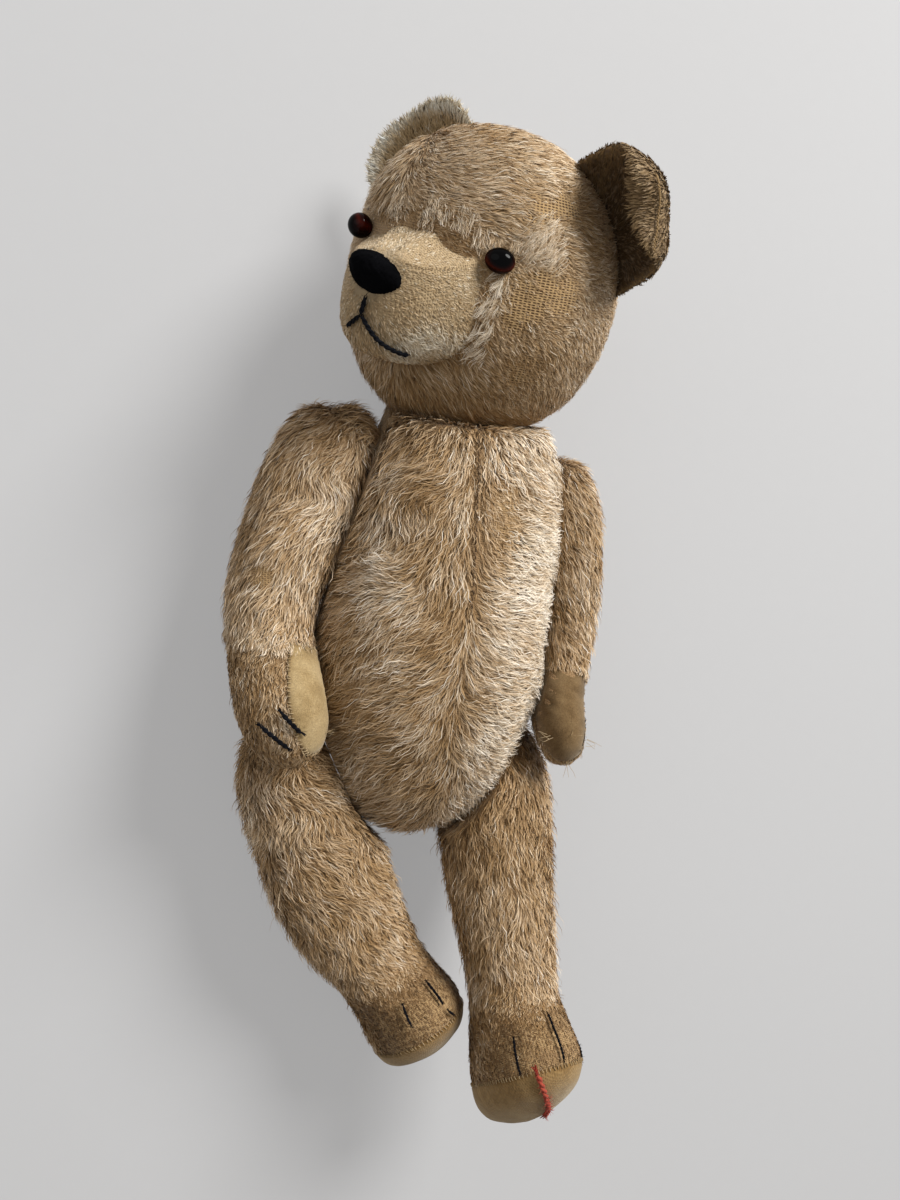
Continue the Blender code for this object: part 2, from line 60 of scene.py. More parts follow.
# --- forms, as cut: body, head, muzzle, ears, arms, legs -------------------------------------------
TORSO = [(16, -2, 22, 22, 22), (13, -2, 38, 38, 36), (4, -1, 47, 45, 43), (-12, 0, 55, 51, 46),
         (-32, -1, 61, 56, 50), (-60, -2, 66, 62, 53), (-90, -3, 69, 67, 55), (-120, -6, 71, 71, 57),
         (-150, -7.5, 74, 73, 59), (-176, -8, 73, 71, 60), (-201, -8.5, 68, 66, 58),
         (-226, -8, 60, 57, 53), (-246, -8, 49, 46, 44), (-262, -7, 35, 32, 31), (-272, -6, 19, 18, 17),
         (-276, -6, 4, 4, 4)]
HEAD_AT = np.array((-7.5, -12.0, 75.5))
HEAD_AXES = np.array(((0.665, 0.746, -0.027), (-0.703, 0.613, -0.360), (-0.252, 0.259, 0.932)))
HEAD_R = np.array((84.5, 83.5, 85.5))
EYE_AT = (52.0, -63.0, 18.5)
# each eye as it shows: its radii, and how far it stands from its middle on the head; the pile hides the rest
EYE_SHOWN = {"eye_left": ((8.3, 6.2, 6.5), (0, 0.3, -1.2)),
             "eye_right": ((7.6, 7.2, 6.9), (7.0, -5.5, -0.3))}
EYE_OUT = 2.0
MUZZLE_X = 4.0
MUZZLE = [(-44, -6.5, 46, 39.5), (-58, -7, 45.5, 39.5), (-70, -9, 43.5, 38.5), (-83, -11.5, 38.5, 36),
          (-95, -14, 32, 32), (-104, -16.5, 24, 26), (-109.5, -18, 15, 17), (-112, -18, 3, 3.5)]
NOSE_AT = (4.5, -104.0, -1.5)
NOSE_R = (17.0, 11.0, 12.5)
EARS = {"ear_left": ((68.0, 27.6, 48.0), (0.547, 0.216, -0.808), (0.82, -0.33, 0.47), 39, 65, 5.5, 15, 2.0),
        "ear_right": ((-64.0, 14.0, 56.0), (0.80, 0.15, 0.58), (-0.35, 0.0, 0.93), 38, 35.5, 5.5, 13, 0.0)}
CURL_FROM = 0.3
ARM_R = [(-82, 4, -17, 3, 3, 0), (-82, 4, -20.5, 18, 19, 0), (-85, 4, -33, 28, 29, 4),
         (-90, 4, -55, 32, 34, 8), (-99, 3, -88, 33, 33, 18), (-108, -3, -122, 31, 28.5, 30),
         (-110, -15, -153, 27, 25, 40), (-105, -31, -180, 27.5, 24.5, 46), (-97, -43, -203, 27, 23.5, 50),
         (-89, -50, -221, 18, 15.5, 50), (-86, -52, -227.5, 4, 4, 50)]
ARM_L = [(69, 6, -24, 3, 3, 0), (69.5, 6, -27.5, 18, 11, 0), (71, 6, -41, 27, 18, 0),
         (74.5, 6, -64, 31, 22.5, 0), (80.5, 5, -98, 31, 21.5, 0), (83, 0, -130, 28, 19, 0),
         (81, -9, -157, 25, 17, 4), (79, -20, -180, 26, 17, 8), (80, -32, -198, 23.5, 15.5, 10),
         (81.5, -40, -211, 15, 11, 10), (82.5, -43, -216, 3, 3, 10)]
LEG_R_SET = ((-77.0, 6.0, -243.0), (22.0, -12.0, -404.0), 20.0)
LEG_R = [(-37, -2, 0, 4, 4, 4, 0), (-34, -2, 0, 18, 18, 20, 0), (-22, -3, 0, 30, 29, 31, 0),
         (0, -5, 0, 38, 36, 38, 0), (35, -10, 0, 39, 37, 37, 0), (75, -14, 0, 38.5, 35, 35, 0),
         (108, -14, 0, 35, 31, 33, 0), (138, -10, 0, 30, 30, 31, 0.05), (158, -7, 2, 29.5, 37, 33, 0.16),
         (176, -5, 4, 31.5, 42, 34, 0.28), (190, -5, 5, 31, 42, 33, 0.34), (200, -5, 5, 25, 36, 28, 0.36),
         (206, -5, 5, 12, 20, 14, 0.36), (208, -5, 5, 3, 4, 4, 0.36)]
LEG_L_SET = ((50.0, 6.0, -238.0), (78.5, -59.0, -396.0), 14.0)
LEG_L = [(-40, -2, 0, 4, 4, 4, 0), (-37, -2, 0, 18, 18, 20, 0), (-25, -2, 0, 30, 30, 32, 0),
         (0, -2, 0, 38, 37, 38, 0), (35, -3, 0, 37, 38, 37, 0), (72, -5, 0, 34, 34, 34, 0),
         (110, -5, 0, 30, 30, 31, 0), (138, -6, 0, 28, 29, 29, 0.05), (158, -7, 2, 29.5, 37, 32, 0.16),
         (176, -8, 4, 31.5, 43, 34, 0.28), (190, -8, 5, 31, 44, 34, 0.34), (201, -8, 5, 25, 37, 28, 0.36),
         (208, -8, 5, 12, 20, 14, 0.36), (210, -8, 5, 3, 4, 4, 0.36)]

# --- joints: centre, axis outward from the body; the faces between limb and body -------------------
JOINTS = {"neck": ((-2.5, 3.0, -7.0), (-0.060, -0.231, 0.971)),
          "shoulder_right": ((-62.5, 4.0, -50.0), (-0.9781, 0.0, 0.2079)),
          "shoulder_left": ((60.5, 4.0, -55.0), (0.9962, 0.0, 0.0872)),
          "hip_right": ((-61.2, 4.0, -232.0), (-0.8660, 0.0, -0.5000)),
          "hip_left": ((44.4, 4.0, -232.0), (0.8829, 0.0, -0.4695))}
SWEEP_R = [(0, 0.2), (60, 0.2), (90, -0.8), (105, -2), (120, -5.5), (130, -8.5), (140, -12.5), (150, -17),
           (160, -22.5), (170, -29), (180, -37), (190, -46), (205, -62), (240, -90)]
SWEEP_L = [(0, 0.2), (60, 0.2), (90, -0.8), (105, -1.8), (120, -5), (140, -11), (160, -19.5),
           (180, -31), (205, -50), (240, -72)]
HIP_SWEEP = [(0, 0.2), (42, 0.2), (50, -1.5), (60, -4.5), (75, -13), (100, -33), (130, -60)]
NECK_SWEEP = [(0, 0.2), (110, 0.2)]
SWEEPS = {"neck": NECK_SWEEP, "shoulder_right": SWEEP_R, "shoulder_left": SWEEP_L,
          "hip_right": HIP_SWEEP, "hip_left": HIP_SWEEP}
PAW_R = ((-96.0, -45.2, -163.1), (0.774, -0.538, 0.347), (-0.210, 0.449, 0.869), (-97, -48, -158))
PAW_L = ((80.0, -26.0, -180.0), (-0.178, -0.855, 0.487), (0.030, 0.490, 0.870), (75, -33, -156))
SOLE_R = (187.0, 0.22)
SOLE_L = (184.0, 0.22)
WRIST_CREASE = {"right": 157, "left": 158}

# --- how far the woven backing lies inside each form, to leave room for its pile -------------------
TRUNK_INSET, SKULL_INSET, SNOUT_INSET, EAR_INSET = -2.6, -1.6, -0.9, -0.8
LEG_INSET, FOOT_INSET = -2.4, -1.2
ARM_INSET = {"right": -2.2, "left": -0.3}


# ==================================================================================== small numbers
def unit(v):
    v = np.asarray(v, float)
    return v / np.maximum(1e-9, np.linalg.norm(v, axis=-1, keepdims=True))


def dot(a, b):
    return np.sum(a * b, axis=-1)


def step(x, lo, hi):
    """Smooth 0..1 as x goes from lo to hi; hi may be below lo."""
    t = np.clip((x - lo) / (hi - lo), 0, 1)
    return t * t * (3 - 2 * t)


def ball(p, at, r, soft=0.35):
    """1 inside a ball of radius r, fading to 0 over `soft` of r."""
    d = np.linalg.norm(p - np.array(at, float), axis=-1) / r
    return 1 - step(d, 1 - soft, 1 + soft)


def laid(p):
    """Bear frame (mm) to the shared frame (m)."""
    return (np.asarray(p) @ LIE_TURN.T + np.array(LIE_AT)) * MM


def head_to_bear(p):
    return p @ HEAD_AXES.T + HEAD_AT


def hashed(cells, seed):
    """Four repeatable random numbers for each integer cell."""
    c = cells.astype(np.int64)
    n = (c[..., 0] * 73856093) ^ (c[..., 1] * 19349663) ^ (c[..., 2] * 83492791) ^ (seed * 668265263)
    out = []
    for k in range(4):
        m = (n + k * 374761393) & 0xffffffff
        m = ((m ^ (m >> 15)) * 2246822519) & 0xffffffff
        m = ((m ^ (m >> 13)) * 3266489917) & 0xffffffff
        out.append(((m ^ (m >> 16)) & 0xffffff) / float(0xffffff))
    return np.stack(out, -1)


def drift(p, scale, seed):
    """Smooth noise, -1 to 1, three channels."""
    q = p / scale + 31.7
    i = np.floor(q)
    f = q - i
    f = f * f * (3 - 2 * f)
    total = 0.0
    for dx, dy, dz in itertools.product((0, 1), repeat=3):
        w = ((f[..., 0] if dx else 1 - f[..., 0]) * (f[..., 1] if dy else 1 - f[..., 1])
             * (f[..., 2] if dz else 1 - f[..., 2]))
        total = total + w[..., None] * hashed(i + np.array((dx, dy, dz)), seed)[..., :3]
    return total * 2 - 1


def mottle(p, scale, seed):
    """Smooth noise, -1 to 1, one channel."""
    return drift(p, scale, seed)[..., 0]


def locks(p, size, seed):
    """Nearest lock of pile to each point: its middle and its own random numbers."""
    cell = np.floor(p / size)
    best = np.full(len(p), 1e18)
    mid = np.zeros_like(p)
    own = np.zeros((len(p), 4))
    for d in itertools.product((-1, 0, 1), repeat=3):
        c = cell + np.array(d)
        r = hashed(c, seed)
        at = (c + r[:, :3]) * size
        far = np.sum((at - p) ** 2, axis=1)
        near = far < best
        best = np.where(near, far, best)
        mid[near] = at[near]
        own[near] = hashed(c, seed + 7)[near]
    return mid, own


def ease_rows(rows, per):
    r = np.array(rows, float)
    n = len(r)
    out = []
    for i in range(n - 1):
        a, b, c, d = r[max(0, i - 1)], r[i], r[i + 1], r[min(n - 1, i + 2)]
        for k in range(per):
            t = k / per
            out.append(0.5 * (2 * b + (c - a) * t + (2 * a - 5 * b + 4 * c - d) * t * t
                              + (3 * b - a - 3 * c + d) * t ** 3))
    out.append(r[-1])
    return np.array(out)


def oval(n, power):
    a = 2 * np.pi * (np.arange(n) + 0.5) / n
    c, s = np.cos(a), np.sin(a)
    e = 2.0 / power
    return np.sign(c) * np.abs(c) ** e, np.sign(s) * np.abs(s) ** e


def ball_grid(rows, n):
    """Directions in rings from the top of a ball to its foot."""
    pol = np.pi * (np.arange(rows) + 0.6) / (rows + 0.2)
    a = 2 * np.pi * np.arange(n) / n
    return np.stack((np.sin(pol)[:, None] * np.cos(a), np.sin(pol)[:, None] * np.sin(a),
                     np.cos(pol)[:, None] * np.ones(n)), -1)


# ==================================================================================== forms
def torso_form(grow=0.0, per=4, n=80):
    c, s = oval(n, 2.15)
    rings = []
    for z, cx, w, f, b in ease_rows(TORSO, per):
        d = np.where(s < 0, f, b) + grow
        rings.append(np.stack((cx + c * (max(w + grow, 1)), s * np.maximum(d, 1), np.full(n, z)), -1))
    return np.array(rings)


def head_radius(d, grow=0.0):
    r = 1.0 / np.sqrt(np.sum((d / (HEAD_R + grow)) ** 2, axis=-1))
    for side in (-1, 1):
        e = unit((side * EYE_AT[0], EYE_AT[1], EYE_AT[2]))
        r = r - 3.0 * np.exp(-(np.linalg.norm(d - e, axis=-1) / 0.22) ** 2)
        k = unit((side * 0.62, -0.10, -0.72))
        r = r + 9.0 * np.exp(-(np.linalg.norm(d - k, axis=-1) / 0.6) ** 2)
        k = unit((side * 0.42, -0.50, 0.72))
        r = r + 3.5 * np.exp(-(np.linalg.norm(d - k, axis=-1) / 0.45) ** 2)
    k = unit((0.0, -0.66, -0.75))
    return r + 11.0 * np.exp(-(np.linalg.norm(d - k, axis=-1) / 0.45) ** 2)


def head_form(grow=0.0, rows=64, n=92):
    d = ball_grid(rows, n)
    return d * head_radius(d, grow)[..., None]


def muzzle_form(grow=0.0, per=6, n=72):
    c, k = oval(n, 2.5)
    rings = []
    for y, cz, w, h in ease_rows(MUZZLE, per):
        rings.append(np.stack((MUZZLE_X + c * max(w + grow, 0.5), np.full(n, y - grow),
                               cz + k * max(h + grow, 0.5)), -1))
    return np.array(rings)


def arm_form(rows, grow=0.0, per=5, n=48):
    fine = ease_rows(rows, per)
    c, s = oval(n, 2.15)
    side = 1 if rows[0][0] > 0 else -1
    rings = []
    for i, (x, y, z, d, w, az) in enumerate(fine):
        t = unit(fine[min(len(fine) - 1, i + 1)][:3] - fine[max(0, i - 1)][:3])
        a = math.radians(az)
        nn = np.array((-side * math.sin(a), -math.cos(a), 0.0))
        nn = unit(nn - t * dot(nn, t))
        b = np.cross(t, nn)
        rings.append(np.array((x, y, z)) + nn * (c * max(d + grow, 1))[:, None]
                     + b * (s * max(w + grow, 1))[:, None])
    return np.array(rings)


def leg_axes(fit):
    at, to, toe = fit
    down = unit(np.array(to) - np.array(at))
    a = math.radians(toe)
    fwd = np.array((math.sin(a), -math.cos(a), 0.0))
    fwd = unit(fwd - down * dot(fwd, down))
    return down, fwd, np.cross(fwd, down)


def leg_form(fit, rows, grow=0.0, per=5, n=56):
    down, fwd, lat = leg_axes(fit)
    c, k = oval(n, 2.15)
    rings = []
    for s, dx, dy, w, f, b, shear in ease_rows(rows, per):
        y = dy + k * np.maximum(np.where(k > 0, f, b) + grow, 1)
        x = dx + c * max(w + grow, 1)
        rings.append(np.array(fit[0]) + down * (s - shear * y)[:, None] + fwd * y[:, None] + lat * x[:, None])
    return np.array(rings)


def ear_axes(name):
    _, along, tip = EARS[name][:3]
    w = unit(along)
    u = unit(np.array(tip) - w * dot(np.array(tip), w))
    n = np.cross(w, u)
    return w, u, (-n if n[1] > 0 else n)


def ear_form(name, grow=0.0, rows=44, n=64):
    """Ear rings, and for each point its place on the flat pattern: across, up, front."""
    at, _, _, hw, hh, ht, cup, curl = EARS[name]
    w, u, nn = ear_axes(name)
    x, y, z = np.moveaxis(ball_grid(rows, n), -1, 0)
    flat = np.hypot(x, z)
    k = flat / np.maximum(1e-6, (np.abs(x) ** 2.5 + np.abs(z) ** 2.5)) ** 0.4
    k = 1 + (k - 1) * flat
    x, z = x * k, z * k
    turn = ear_turn(name, z)
    bend = (1 - CURL_FROM) * (hh + grow) / max(curl, 1e-6)
    curled = (z > CURL_FROM) & (curl > 0)
    high = np.where(curled, CURL_FROM * (hh + grow) + bend * np.sin(turn), z * (hh + grow))
    fore = np.where(curled, cup * (x * x + 0.35 * CURL_FROM ** 2) + bend * (1 - np.cos(turn)),
                    cup * (x * x + 0.35 * np.maximum(0, z) ** 2))
    lean = nn * np.cos(turn)[..., None] - u * np.sin(turn)[..., None]
    rings = (np.array(at) + w * (x * (hw + grow))[..., None] + u * high[..., None] + nn * fore[..., None]
             + lean * (y * (ht + grow))[..., None])
    flat_pattern = np.stack((x, z, y), -1).reshape(-1, 3)
    return rings, np.concatenate((flat_pattern, [[0, 1, 0]], [[0, -1, 0]]))


def ear_turn(name, z):
    """How far the ear has curled forward at a height of its flat pattern (rad)."""
    return EARS[name][7] * np.clip((z - CURL_FROM) / (1 - CURL_FROM), 0, 1.2)


def facing(pts, tris):
    """Normals of triangles, as long as twice their area."""
    return np.cross(pts[tris[:, 1]] - pts[tris[:, 0]], pts[tris[:, 2]] - pts[tris[:, 0]])


def gathered(pts, tris, face_normals):
    """Normals at the points, from the triangles about them."""
    out = np.zeros_like(pts)
    for c in range(3):
        np.add.at(out, tris[:, c], face_normals)
    return unit(out)


def closed(rings):
    """Points, quads and end fans, outward normals and a cloth map (mm) of a form given as rings."""
    rows, n = rings.shape[:2]
    pts = np.concatenate((rings.reshape(-1, 3), [rings[0].mean(0)], [rings[-1].mean(0)]))
    i, j = np.meshgrid(np.arange(rows - 1), np.arange(n), indexing="ij")
    k = (j + 1) % n
    quads = np.stack((i * n + j, (i + 1) * n + j, (i + 1) * n + k, i * n + k), -1).reshape(-1, 4)
    j = np.arange(n)
    k = (j + 1) % n
    top = np.stack((j, k, np.full(n, rows * n)), -1)
    end = np.stack(((rows - 1) * n + k, (rows - 1) * n + j, np.full(n, rows * n + 1)), -1)
    tris = np.concatenate((quads[:, (0, 1, 2)], quads[:, (0, 2, 3)], top, end))
    fn = facing(pts, tris)
    if np.sum(dot(pts[tris[:, 0]], fn)) < 0:
        quads, top, end, tris, fn = quads[:, ::-1], top[:, ::-1], end[:, ::-1], tris[:, ::-1], -fn
    reach = 2 * np.pi * np.sqrt(np.mean(np.var(rings, axis=1).sum(-1)))
    length = np.r_[0, np.cumsum(np.linalg.norm(np.diff(rings.mean(1), axis=0), axis=-1))]
    if length[-1] < 1:
        length = np.arange(rows) * 1.0
    side = np.arange(n) / n * reach * 0.8
    cloth = np.stack(np.broadcast_arrays(side[None, :], length[:, None]), -1).reshape(-1, 2)
    cloth = np.concatenate((cloth, [[0, length[0]]], [[0, length[-1]]]))
    return {"pts": pts, "quads": quads, "caps": np.concatenate((top, end)), "tris": tris,
            "normals": gathered(pts, tris, fn), "cloth": cloth, "reach": reach * 0.8}


def recomputed(form):
    """Normals again, after the points have been moved."""
    pts, tris = form["pts"], form["tris"]
    form["normals"] = gathered(pts, tris, facing(pts, tris))
    return form


# ==================================================================================== joint faces
def heights(p, joint):
    at, axis = JOINTS[joint]
    a = unit(axis)
    v = p - np.array(at)
    h = dot(v, a)
    r = np.linalg.norm(v - h[..., None] * a, axis=-1)
    prof = np.array(SWEEPS[joint])
    return h, r, np.interp(r, prof[:, 0], prof[:, 1]), a


def clear_limb(p, joint, gap=0.15):
    """Push points of a limb (or the head) out to their own side of the joint face."""
    h, r, face, a = heights(p, joint)
    short = np.maximum(0, face + gap - h)
    short = np.where(r < np.array(SWEEPS[joint])[-1, 0], short, 0)
    return p + short[..., None] * a


def clear_trunk(p, gap=0.15, throat=0.0):
    """Push points of the body back behind every joint face; pile may stand up a little around the throat."""
    for joint in JOINTS:
        h, r, face, a = heights(p, joint)
        lim = np.minimum(face - 0.4, -0.2) - gap
        if joint == "neck" and throat:
            lim = lim + throat * (1 - 0.5 * step(p[..., 0], 0, 35)) * step(r, 43, 55)
        reach = {"neck": 112, "shoulder_right": 150, "shoulder_left": 150}.get(joint, 92)
        over = np.where((r < reach) & (h < 45), np.maximum(0, h - lim), 0)
        p = p - over[..., None] * a
    return p


def clear_trunk_pile(p):
    return clear_trunk(p, -0.2, 5.0)


def by_face(p, joint, reach=92.0, depth=15.0):
    """1 on the surface close to a joint face, on either side of it."""
    h, r, face, _ = heights(p, joint)
    return step(np.abs(h - face), depth, depth * 0.3) * step(r, reach, reach - 12)


def under_disc(p, joint):
    """True on the flat of a limb that lies against the body, where no pile grows."""
    h, r, face, _ = heights(p, joint)
    return (h < face + 2.6) & (r < 30)


def above_ground(p):
    """Keep laid-out points (m) off the ground."""
    p = p.copy()
    p[..., 2] = np.maximum(p[..., 2], GROUND_GAP)
    return p


# ==================================================================================== meshes
def mesh_object(name, pts, faces_by_size, body, mat, replaces=()):
    """Object in the shared frame from laid-out points (m) and index arrays of equal-size faces."""
    me = bpy.data.meshes.new(name)
    me.vertices.add(len(pts))
    me.vertices.foreach_set("co", np.ascontiguousarray(pts, np.float32).ravel())
    idx = np.concatenate([f.ravel() for f in faces_by_size])
    starts, at = [], 0
    for f in faces_by_size:
        m, k = f.shape
        starts.append(at + np.arange(m) * k)
        at += m * k
    me.loops.add(len(idx))
    me.loops.foreach_set("vertex_index", idx.astype(np.int32))
    starts = np.concatenate(starts).astype(np.int32)
    me.polygons.add(len(starts))
    me.polygons.foreach_set("loop_start", starts)
    me.update(calc_edges=True)
    me.polygons.foreach_set("use_smooth", np.full(len(starts), True))
    me.materials.append(mat)
    ob = bpy.data.objects.new(name, me)
    bpy.context.scene.collection.objects.link(ob)
    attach(ob, body)
    if replaces:
        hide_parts(*replaces)
    return ob


def vertex_map(ob, name, uv):
    """UV map from one pair per vertex."""
    me = ob.data
    lay = me.uv_layers.new(name=name)
    idx = np.empty(len(me.loops), np.int32)
    me.loops.foreach_get("vertex_index", idx)
    lay.data.foreach_set("uv", np.ascontiguousarray(uv[idx], np.float32).ravel())
    return lay


def vertex_value(ob, name, values):
    a = ob.data.attributes.new(name, "FLOAT", "POINT")
    a.data.foreach_set("value", np.ascontiguousarray(values, np.float32))


def skin_object(name, form, body, mat, place, replaces, wear):
    """Woven backing under the pile, with its cloth map and how bare it is."""
    pts = above_ground(laid(place(form["pts"])))
    ob = mesh_object(name, pts, [form["quads"], form["caps"]], body, mat, replaces)
    me = ob.data
    idx = np.empty(len(me.loops), np.int32)
    me.loops.foreach_get("vertex_index", idx)
    uv = form["cloth"][idx]
    quad = uv[:form["quads"].size].reshape(-1, 4, 2)
    wide = np.ptp(quad[..., 0], axis=1) > form["reach"] * 0.5
    quad[..., 0] += np.where(wide[:, None] & (quad[..., 0] < form["reach"] * 0.5), form["reach"], 0)
    uv[:form["quads"].size] = quad.reshape(-1, 2)
    lay = me.uv_layers.new(name="cloth")
    lay.data.foreach_set("uv", np.ascontiguousarray(uv * CLOTH_UNIT, np.float32).ravel())
    vertex_value(ob, "bare", wear)
    return ob


# ==================================================================================== pile
def scattered(rng, form, count, density, under, place):
    """Root points on a form, their normals and their places on its pattern.

    Roots thin out with the density, and to `under` of it on surfaces that face the ground.
    """
    pts, tris, nrm = form["pts"], form["tris"], form["normals"]
    a, b, c = pts[tris[:, 0]], pts[tris[:, 1]], pts[tris[:, 2]]
    area = 0.5 * np.linalg.norm(np.cross(b - a, c - a), axis=1)
    mid = (a + b + c) / 3
    mn = unit(nrm[tris[:, 0]] + nrm[tris[:, 1]] + nrm[tris[:, 2]])
    nw = (place(mid + mn) - place(mid)) @ LIE_TURN.T
    w = area * (under + (1 - under) * step(nw[:, 2], -0.5, 0.35))
    if density is not None:
        pm = form["pattern"][tris].mean(1) if "pattern" in form else mid
        w = w * np.clip(density(pm, mn), 0, None)
    t = tris[rng.choice(len(tris), size=count, p=w / w.sum())]
    r1, r2 = np.sqrt(rng.random(count)), rng.random(count)
    shares = [s[:, None] for s in (1 - r1, r1 * (1 - r2), r1 * r2)]

    def within(values):
        return sum(share * values[t[:, k]] for k, share in enumerate(shares))
    root = within(pts)
    return root, unit(within(nrm)), within(form["pattern"]) if "pattern" in form else root


BLADE = {3: (0.8, 1.0, 0.8, 0.0), 2: (0.9, 1.0, 0.0)}      # width along a strand of 3 or 2 segments


def pile(name, form, body, slot, mat, *, count, length, flow, tone, density=None, lift=0.3, width=0.6,
         segs=3, lock=7.0, pull=0.55, wave=0.9, stray=14.0, roll=35.0, seed=1, place=None, clear=None,
         turn=None, spread=0.1, under=0.35, pale=0.10):
    """Mohair strands as fine tapered blades, rooted on the form.

    length, tone, density and lift may be numbers or functions of the root points and normals; flow
    gives the combing direction.  Strands gather into locks, wave together and keep a small stray angle.
    """
    rng = np.random.default_rng(seed)
    place = place or (lambda p: p)
    root, n, spot = scattered(rng, form, count, density, under, place)

    def value(f):
        return f(spot, n) if callable(f) else np.full(count, float(f))

    middle, own = locks(root, lock, seed)
    d = flow(spot, n)
    d = unit(d - n * dot(d, n)[:, None])
    ang = (own[:, 0] - 0.5) * 2 * math.radians(stray) + rng.normal(0, math.radians(stray * 0.45), count)
    if turn is not None:
        ang = ang + turn(spot, n)
    s, co = np.sin(ang)[:, None], np.cos(ang)[:, None]
    side = np.cross(n, d)
    d, side = d * co + side * s, side * co - d * s
    size = value(length) * (0.78 + 0.3 * own[:, 1]) * rng.uniform(0.7, 1.12, count)
    rise = value(lift) * (0.7 + 0.6 * own[:, 2]) * rng.uniform(0.6, 1.4, count)
    draw = middle - root
    draw = draw - n * dot(draw, n)[:, None]
    draw = draw * np.minimum(1.0, 0.45 * size / np.maximum(1e-6, np.linalg.norm(draw, axis=1)))[:, None]
    k = np.linspace(0, 1, segs + 1)
    phase = own[:, 3] * 2 * np.pi + rng.normal(0, 0.7, count)
    turns = 0.7 + 0.5 * own[:, 1]
    path = []
    for u in k:
        swing = np.sin(phase + 2 * np.pi * turns * u) - np.sin(phase)
        p = (root + d * (size * u * (1 - 0.12 * u))[:, None]
             + n * (size * rise * u * (1.25 - 0.75 * u))[:, None]
             + draw * (pull * u ** 1.3) + side * (wave * swing * u ** 0.5)[:, None])
        path.append(p)
    path = np.array(path)
    tilt = rng.normal(0, math.radians(roll), count)
    face = n * np.cos(tilt)[:, None] + side * np.sin(tilt)[:, None]
    wide = width * rng.uniform(0.7, 1.25, count) * 0.5
    co, nn, uvs = [], [], []
    tint = value(tone) + (own[:, 1] - 0.5) * spread * 1.9 + rng.normal(0, spread * 0.6, count)
    tint = np.clip(tint + np.where(rng.random(count) < pale, rng.uniform(0.08, 0.28, count), 0), 0.01, 0.99)
    for i, u in enumerate(k):
        t0, t1 = path[max(0, i - 1)], path[min(segs, i + 1)]
        tan = unit(t1 - t0)
        cross = unit(np.cross(tan, face))
        flatn = unit(np.cross(cross, tan))
        flatn = flatn * np.sign(dot(flatn, n))[:, None]
        off = cross * (wide * BLADE[segs][i])[:, None]
        if i < segs:
            co += [path[i] - off, path[i] + off]
            nn += [unit(flatn + n * 0.5 - cross * 0.55), unit(flatn + n * 0.5 + cross * 0.55)]
            uvs += [np.stack((tint + shift, np.full(count, u)), -1) for shift in (-0.002, 0.002)]
        else:
            co += [path[i]]
            nn += [unit(flatn + n * 0.5)]
            uvs += [np.stack((tint, np.full(count, u)), -1)]
    m = 2 * segs + 1
    co = place(np.stack(co, 1).reshape(-1, 3))
    if clear is not None:
        co = clear(co)
    nn = np.stack(nn, 1).reshape(-1, 3)
    base = np.repeat(root, m, axis=0)
    nn = unit((place(base + nn) - place(base)) @ LIE_TURN.T)
    uvs = np.stack(uvs, 1).reshape(-1, 2)
    first = np.arange(count)[:, None] * m
    quads = np.concatenate([first + np.array((2 * q, 2 * q + 1, 2 * q + 3, 2 * q + 2))
                            for q in range(segs - 1)]) if segs > 1 else np.zeros((0, 4), int)
    tip = first + np.array((2 * segs - 2, 2 * segs - 1, 2 * segs))
    ob = mesh_object(name, above_ground(laid(co)), [quads, tip], body, mat)
    vertex_map(ob, "OFBake", uvs)
    ob.data.normals_split_custom_set_from_vertices(nn.tolist())
    return ob


def leaning(along, amount, scale, seed):
    """Combing direction that leans one way, with some drift about it."""
    return lambda p, n: np.broadcast_to(np.array(along, float), p.shape) + amount * drift(p, scale, seed)


def coat(name, form, body, slot, mat, *, down, top, guard, tone, length, lift, width, down_width=1.0, **rest):
    """Three layers of pile: a shorter, broader undercoat, fine strands over it, and a few long pale ones."""
    seed = rest.pop("seed")            # the other two layers draw from seeds of their own
    extra = {k: rest.pop(k) for k in ("segs", "wave", "pale") if k in rest}
    t, ln, up = (f if callable(f) else (lambda p, n, f=f: np.full(len(p), float(f)))
                 for f in (tone, length, lift))
    pile(name + "_under", form, body, slot, mat, count=down, tone=lambda p, n: t(p, n) - 0.05,
         length=lambda p, n: ln(p, n) * 0.72, lift=lambda p, n: up(p, n) * 0.75, width=down_width, segs=2,
         wave=0.4, pale=0.0, seed=seed + 5000, **rest)
    pile(name + "_guard", form, body, slot, mat, count=guard, tone=lambda p, n: t(p, n) + 0.11,
         length=lambda p, n: ln(p, n) * 1.14, lift=lambda p, n: up(p, n) * 1.35, width=width * 0.85, segs=3,
         wave=extra.get("wave", 0.6) * 1.4, pale=0.4, seed=seed + 9000, **rest)
    return pile(name, form, body, slot, mat, count=top, tone=t, length=ln, lift=lift, width=width, seed=seed,
                **extra, **rest)


# ==================================================================================== node groups
def group(name, ins, outs):
    g = bpy.data.node_groups.new(name, "ShaderNodeTree")
    for label, kind, value in ins:
        s = g.interface.new_socket(name=label, in_out="INPUT", socket_type="NodeSocket" + kind)
        if value is not None:
            s.default_value = value
    for label, kind in outs:
        g.interface.new_socket(name=label, in_out="OUTPUT", socket_type="NodeSocket" + kind)
    return g, g.nodes.new("NodeGroupInput"), g.nodes.new("NodeGroupOutput")


def wire(tree, a, out, b, inp):
    tree.links.new(a.outputs[out], b.inputs[inp])


def sum_node(tree, op, a, b=None, c=None):
    """Math node; a, b and c are numbers or (node, output) pairs."""
    n = tree.nodes.new("ShaderNodeMath")
    n.operation = op
    for i, v in enumerate((a, b, c)):
        if v is None:
            continue
        if isinstance(v, tuple):
            tree.links.new(v[0].outputs[v[1]], n.inputs[i])
        else:
            n.inputs[i].default_value = v
    return (n, 0)


